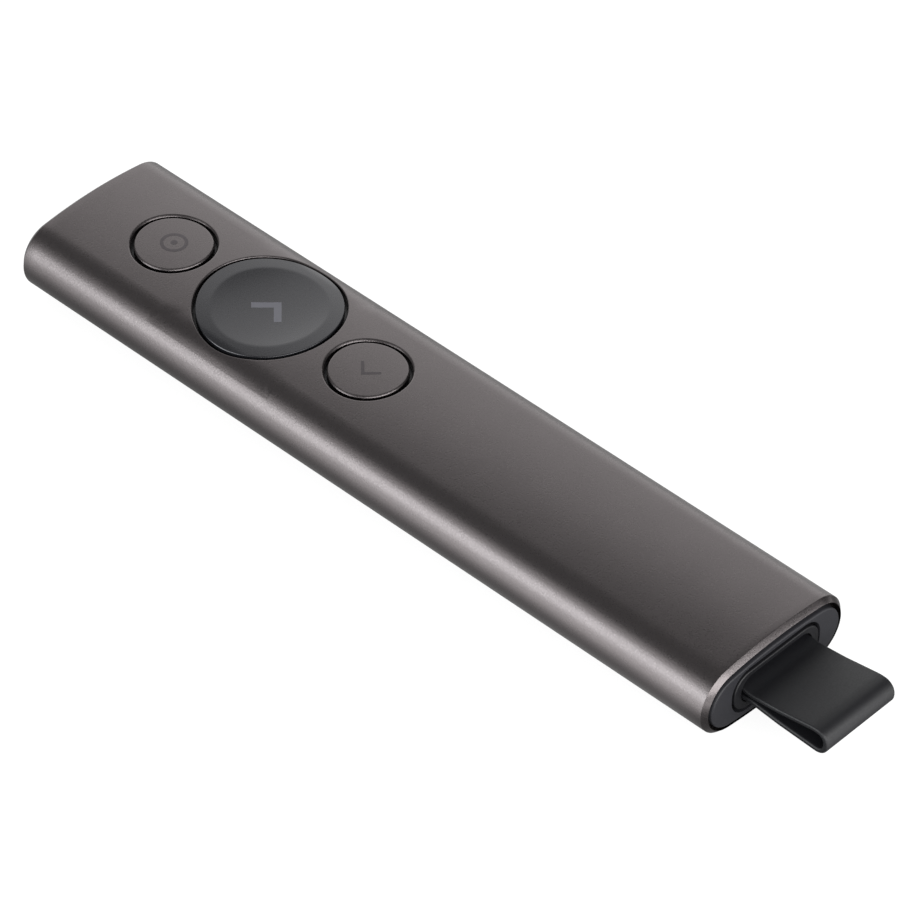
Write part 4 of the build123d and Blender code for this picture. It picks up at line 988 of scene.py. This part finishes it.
# %% Finish of each inner node
INNER_FINISH = {
    frame_plastic: ("front_bulkhead", "chassis", "receiver_dock", "battery_cover", "key_guide"),
    base_plastic: [f"{key}_key_base" for key in KEYS],
    tongue_plastic: ("receiver_plug_tongue", "port_tongue"),
    switch_plastic: [f"{key}_switch_{part}" for key in KEYS for part in ("body", "plunger")],
    plated_steel: ("haptic_motor_shaft", "strap_pin"),
    main_mask: ("main_board", "charge_board", "receiver_board"),
    epoxy: ("radio_chip", "motion_sensor", "power_chip", "charge_chip", "receiver_chip"),
    ceramic: ("chip_antenna",),
    sheet_metal: ("rf_shield", "crystal", "haptic_motor_case", "haptic_motor_base"),
    plug_metal: ("port_shell", "receiver_plug_shell"),
    spring_steel: [f"{key}_switch_dome" for key in KEYS],
    tungsten: ("haptic_motor_rotor",),
    pouch_foil: ("battery",),
    tape: ("battery_tape",),
    foam: ("battery_foam",),
    nylon: ("battery_connector",),
    jacket: ("battery_leads",),
    film_amber: ("flex_ribbon",),
}

for material, nodes in INNER_FINISH.items():
    for node in nodes:
        seat(broken_edges(node, material), node)
print(sum(len(nodes) for nodes in INNER_FINISH.values()), "inner pieces are finished")

# %% [markdown]
# ## Screws
#
# The screws are three kinds of one thing: a pan head with a cross recess on a threaded shank. One
# of each kind is a skin of rings. Its recess is a ring whose radius follows a plus sign, and its
# thread is a radius that climbs with the bearing, so the crests run as one helix. A Geometry Nodes
# tree then sets a copy at each place, turned by a seeded random angle, because no two screws on a
# bench stop at the same turn.

# %% One screw
THREAD_PITCH = 0.45 * MM
THREAD_DEPTH = 0.1 * MM
THREAD_START = 0.05 * MM
THREAD_ROWS_PER_TURN = 6
SCREW_POINTS = 36
CROSS_ARM = 0.62
CROSS_HALF = 0.16
TIP_SHARE = 0.35


def plus_radius(bearing, arm, half):
    """Radius of a plus sign's outline."""
    c = np.maximum(np.abs(np.cos(bearing)), 1e-6)
    s = np.maximum(np.abs(np.sin(bearing)), 1e-6)
    return np.maximum(np.minimum(arm / c, half / s), np.minimum(half / c, arm / s))


def make_screw(name, head_radius, head_height, shank_radius, length):
    """A screw with the middle of its head's top at the origin and its shank down -Z."""
    bearing = np.linspace(-pi, pi, SCREW_POINTS, endpoint=False) + pi / SCREW_POINTS
    cross = plus_radius(bearing, CROSS_ARM * head_radius, CROSS_HALF * head_radius)
    head = head_radius * np.ones(SCREW_POINTS)
    shank = shank_radius * np.ones(SCREW_POINTS)
    # The recess and the head, in shares of their own radius and of the head's height.
    section = [(share * outline, -depth * head_height) for outline, share, depth in (
        (cross, 0.55, 0.55), (cross, 0.85, 0.5), (cross, 1, 0.08), (cross, 1.04, 0),
        (head, 0.8, 0), (head, 0.92, 0.1), (head, 1, 0.35), (head, 1, 1), (shank, 1, 1))]
    tip = shank_radius
    rows = int((length - head_height - tip) / THREAD_PITCH * THREAD_ROWS_PER_TURN)
    for z in np.linspace(-head_height - THREAD_START, tip - length, rows):
        turn = (z / THREAD_PITCH + bearing / (2 * pi)) % 1
        section.append((shank_radius - THREAD_DEPTH * np.abs(2 * turn - 1), z))
    section.append((TIP_SHARE * shank, -length))
    skin = Skin()
    rings = [skin.ring(r * np.cos(bearing), r * np.sin(bearing), z) for r, z in section]
    skin.tipped(rings, (0, 0, section[0][1]))
    return skin.piece(name, plated_steel)


# %% Separate solids of a node, and a screw's head
HEAD_NEAR = 0.4 * MM


def solids_of(node):
    """(low, high, points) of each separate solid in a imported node, in a fixed order."""
    work = merged(node)
    left = set(work.verts)
    found = []
    while left:
        group, frontier = set(), [left.pop()]
        while frontier:
            vertex = frontier.pop()
            if vertex not in group:
                group.add(vertex)
                frontier += [edge.other_vert(vertex) for edge in vertex.link_edges]
        left -= group
        places = np.array([vertex.co for vertex in group])
        found.append((places.min(0), places.max(0), places))
    work.free()
    return sorted(found, key=lambda solid: tuple(np.round(solid[0], 6)))


def head_of(low, high, places):
    """Middle of a screw's head, the way it faces and the screw's length. The head is wider."""
    axis = int(np.argmax(high - low))
    head, facing = (low + high) / 2, np.zeros(3)
    reach = np.linalg.norm(np.delete(places - head, axis, 1), axis=1)
    along = places[:, axis]
    upper = reach[along > high[axis] - HEAD_NEAR].max()
    lower = reach[along < low[axis] + HEAD_NEAR].max()
    head[axis], facing[axis] = (high[axis], 1) if upper > lower else (low[axis], -1)
    return head, facing, (high - low)[axis]


# %% Screw tree
def screw_tree():
    tree, given = node_tree("screws_on_points", Screw="Object", Facing="Vector", Seed="Int",
                            Material="Material")
    screw = add(tree, "GeometryNodeObjectInfo", {"Object": given["Screw"]})
    stop = add(tree, "FunctionNodeRandomValue", {"Seed": given["Seed"], 3: 2 * pi},
               data_type="FLOAT")
    spin = add(tree, "ShaderNodeCombineXYZ", {"Z": stop.outputs[1]})
    own = add(tree, "FunctionNodeEulerToRotation", {"Euler": spin})
    aim = add(tree, "FunctionNodeAlignRotationToVector", {"Vector": given["Facing"]}, axis="Z")
    turned = add(tree, "FunctionNodeRotateRotation", {"Rotation": aim, "Rotate By": own},
                 rotation_space="LOCAL")
    copies = add(tree, "GeometryNodeInstanceOnPoints", {
        "Points": given["Geometry"], "Instance": screw.outputs["Geometry"], "Rotation": turned})
    return end_tree(tree, copies, given["Material"])


# %% Screws in place: radius and height of the head, and radius of the shank
SCREW_SIZES = {"bulkhead_screws": (1.4 * MM, 0.9 * MM, 0.8 * MM),
               "board_screws": (1.2 * MM, 0.6 * MM, 0.7 * MM),
               "dock_screws": (1.2 * MM, 0.9 * MM, 0.8 * MM)}
screws = screw_tree()
for seed, (node, sizes) in enumerate(SCREW_SIZES.items()):
    heads = [head_of(*solid) for solid in solids_of(node)]
    single = make_screw(f"{node}_pattern", *sizes, heads[0][2])
    group = grown(f"{node}_finished", wire_mesh(node, [head for head, _, _ in heads]), screws, {
        "Screw": single, "Facing": tuple(heads[0][1]), "Seed": seed, "Material": plated_steel})
    bpy.data.objects.remove(single)
    seat(group, node)

# %% [markdown]
# ## Small bars: capacitors and contacts
#
# A chip capacitor is a ceramic brick with a tinned cap on each end, and the plug's contacts are
# gold-plated strips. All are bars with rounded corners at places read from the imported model, so one
# tree makes them: a filleted rectangle swept along a straight line, copied to every place.

# %% Bar tree
CORNER_STEPS = 3
CORNER_SHARE = 0.2


def bar_tree():
    tree, given = node_tree("bars_on_points", Direction="Vector", Length="Float", Width="Float",
                            Height="Float", Corner="Float", Material="Material")
    line = add(tree, "GeometryNodeCurvePrimitiveLine", {
        "Direction": given["Direction"], "Length": given["Length"]}, mode="DIRECTION")
    upright = add(tree, "GeometryNodeSetCurveNormal", {"Curve": line}, mode="Z_UP")
    outline = soft_rectangle(tree, given["Width"], given["Height"], given["Corner"], CORNER_STEPS)
    bar = add(tree, "GeometryNodeCurveToMesh", {"Curve": upright, "Profile Curve": outline,
                                                "Fill Caps": True})
    copies = add(tree, "GeometryNodeInstanceOnPoints", {"Points": given["Geometry"],
                                                        "Instance": bar})
    return end_tree(tree, copies, given["Material"])


bars = bar_tree()


def length_of(node):
    low, high, _ = solids_of(node)[0]
    return float(high[1] - low[1])


def bar_row(name, node, material, length, start=0.0, shrink=0.0):
    """Bars along Y, one in each solid of a node: of a length, from start, set in by shrink."""
    solids = solids_of(node)
    starts = [((low[0] + high[0]) / 2, low[1] + start, (low[2] + high[2]) / 2)
              for low, high, _ in solids]
    width, _, height = (float(size) - 2 * shrink for size in solids[0][1] - solids[0][0])
    row = grown(name, wire_mesh(node, starts), bars, {
        "Direction": (0.0, 1.0, 0.0), "Length": length, "Width": width, "Height": height,
        "Corner": CORNER_SHARE * height, "Material": material})
    seat(row, node)


# %% Capacitors and contacts in place
CAP_END = 0.25 * MM
BRICK_INSET = 0.01 * MM
capacitor_length = length_of("capacitors")
bar_row("capacitor_bricks", "capacitors", ceramic, capacitor_length - 2 * BRICK_INSET,
        start=BRICK_INSET, shrink=2 * BRICK_INSET)
bar_row("capacitor_near_ends", "capacitors", tin, CAP_END)
bar_row("capacitor_far_ends", "capacitors", tin, CAP_END, start=capacitor_length - CAP_END)
bar_row("contact_strips", "receiver_contacts", gold, length_of("receiver_contacts"))

# %% [markdown]
# ## Studio
#
# A white sweep and a few large soft lamps, as for a catalogue picture. More light on the floor
# would also bleach the remote. So Light Path makes the floor and the sky white to the camera alone,
# with another brightness in reflections, and the floor still takes the remote's soft shadow.

# %% Floor
FLOOR_HALF = 3.0
FLOOR_GREY = (0.17, 0.17, 0.17, 1)
FLOOR_SHOWN = 0.9
SIDE_NEAR, SIDE_FAR = -17 * MM, -32 * MM
MIRRORED_NEAR, MIRRORED_FAR = 0.2, 1.1
KEY_END, DOCK_END, DOCK_STOP = 60 * MM, -50 * MM, -62 * MM
DOCK_GAIN = 1.75
AHEAD_FROM, AHEAD_FULL = -74 * MM, -84 * MM
MIRRORED_AHEAD = 1.5


def maths(tree, operation, *values):
    return add(tree, "ShaderNodeMath", dict(enumerate(values)), operation=operation)


def floor_material():
    """Grey, made white by light of its own, which the camera and reflections see differently.

    What reflections see grows away from the remote's left side, as a sweep that curves up would,
    and towards the dock end, where it stops. In front of the strap it is bright again.
    """
    material, tree, shader = principled("studio_white", {
        "Base Color": FLOOR_GREY, "Roughness": 0.4, "Emission Color": (1, 1, 1, 1)})
    rays = add(tree, "ShaderNodeLightPath").outputs
    place = add(tree, "ShaderNodeSeparateXYZ", {"Vector": object_place(tree)}).outputs
    sweep = remap(tree, place["X"], SIDE_NEAR, SIDE_FAR, MIRRORED_NEAR, MIRRORED_FAR)
    towards_dock = remap(tree, place["Y"], KEY_END, DOCK_END, 1.0, DOCK_GAIN)
    before_dock = remap(tree, place["Y"], DOCK_STOP, DOCK_END)
    ahead = remap(tree, place["Y"], AHEAD_FROM, AHEAD_FULL, 0.0, MIRRORED_AHEAD)
    along = maths(tree, "MULTIPLY", towards_dock, before_dock)
    mirrored = maths(tree, "MULTIPLY_ADD", sweep, along, ahead)
    shown = maths(tree, "MULTIPLY", rays["Is Camera Ray"], FLOOR_SHOWN)
    glow = maths(tree, "MULTIPLY_ADD", rays["Is Glossy Ray"], mirrored, shown)
    feed(tree, shader, {"Emission Strength": glow})
    return material


floor = Skin()
square = FLOOR_HALF * np.array(((-1, 1, 1, -1), (-1, -1, 1, 1)))
floor.cap(floor.ring(*square, 0))
floor.piece("studio_floor", floor_material())

# %% Sky
SKY_LEVEL = 0.27
world = bpy.data.worlds.new("studio_sky")
world.use_nodes = True
bpy.context.scene.world = world
sky = world.node_tree
sky.nodes.clear()
seen = add(sky, "ShaderNodeLightPath").outputs["Is Camera Ray"]
air = add(sky, "ShaderNodeBackground", {"Color": (1, 1, 1, 1),
                                        "Strength": remap(sky, seen, 0, 1, SKY_LEVEL, 1.0)})
add(sky, "ShaderNodeOutputWorld", {"Surface": air})


# %% Lamps
def direction(bearing, elevation):
    a, e = radians(bearing), radians(elevation)
    return Vector((cos(a) * cos(e), sin(a) * cos(e), sin(e)))


def lamp(name, bearing, elevation, distance, width, height, brightness, tint=(1, 1, 1)):
    """A soft box that faces the remote; brightness is how bright its front looks, white being 1."""
    data = bpy.data.lights.new(name, "AREA")
    data.shape = "RECTANGLE"
    data.size, data.size_y = width, height
    data.energy = brightness * width * height * pi
    data.color = tint
    lamp_object = bpy.data.objects.new(name, data)
    away = direction(bearing, elevation)
    lamp_object.location = away * distance
    lamp_object.rotation_mode = "QUATERNION"
    lamp_object.rotation_quaternion = away.to_track_quat("Z", "Y")
    bpy.context.scene.collection.objects.link(lamp_object)


lamp("left_strip", 160, 12, 0.8, 0.66, 0.38, 5.4, (0.96, 0.99, 1.0))
lamp("left_halo", 158, 34, 0.8, 0.6, 0.24, 1.3)
lamp("right_bank", 45, 25, 0.6, 0.84, 0.56, 0.95)
lamp("right_low", 42, 15, 0.7, 0.8, 0.38, 0.4)
lamp("front_bank", -107, 26, 0.7, 1.14, 0.4, 5.0)
lamp("fold_card", -60, 9, 0.7, 0.3, 0.2, 3.0)


# %% Dark card
def shade_card(name, bearing, elevation, distance, width, height):
    """A black card that only reflections see; it gives the rim's right end its dark tip."""
    away = direction(bearing, elevation)
    across = direction(bearing + 90, 0) * width / 2
    upward = away.cross(across).normalized() * height / 2
    x, y, z = np.transpose([away * distance + across * i + upward * j
                            for i, j in ((-1, -1), (1, -1), (1, 1), (-1, 1))])
    skin = Skin()
    skin.cap(skin.ring(x, y, np.maximum(z, MM)))
    card = skin.piece(name, finish(f"{name}_velvet", (0.004, 0.004, 0.004), 0.9))
    card.visible_camera = card.visible_diffuse = card.visible_shadow = False


shade_card("shade_card", -16, 9, 0.5, 0.44, 0.3)

# %% [markdown]
# ## Camera
#
# A long lens from the left, behind and above, so that the body runs from the upper left to the
# lower right and its sides stay almost parallel.

# %% Camera
CAMERA_PLACE = Vector((-0.4028, -0.37815, 0.5154))
CAMERA_BEARING = radians(-46.855)
CAMERA_ELEVATION = radians(42.686)
CAMERA_ROLL = radians(0.671)
camera_data = bpy.data.cameras.new("portrait")
camera_data.sensor_width = 36
camera_data.lens = 213.65
camera_data.clip_start, camera_data.clip_end = 0.01, 20
camera = bpy.data.objects.new("portrait", camera_data)
camera.matrix_world = (Matrix.Translation(CAMERA_PLACE)
                       @ Matrix.Rotation(CAMERA_BEARING, 4, "Z")
                       @ Matrix.Rotation(pi / 2 - CAMERA_ELEVATION, 4, "X")
                       @ Matrix.Rotation(CAMERA_ROLL, 4, "Z"))
bpy.context.scene.collection.objects.link(camera)
bpy.context.scene.camera = camera
bpy.context.scene.view_settings.view_transform = "Standard"
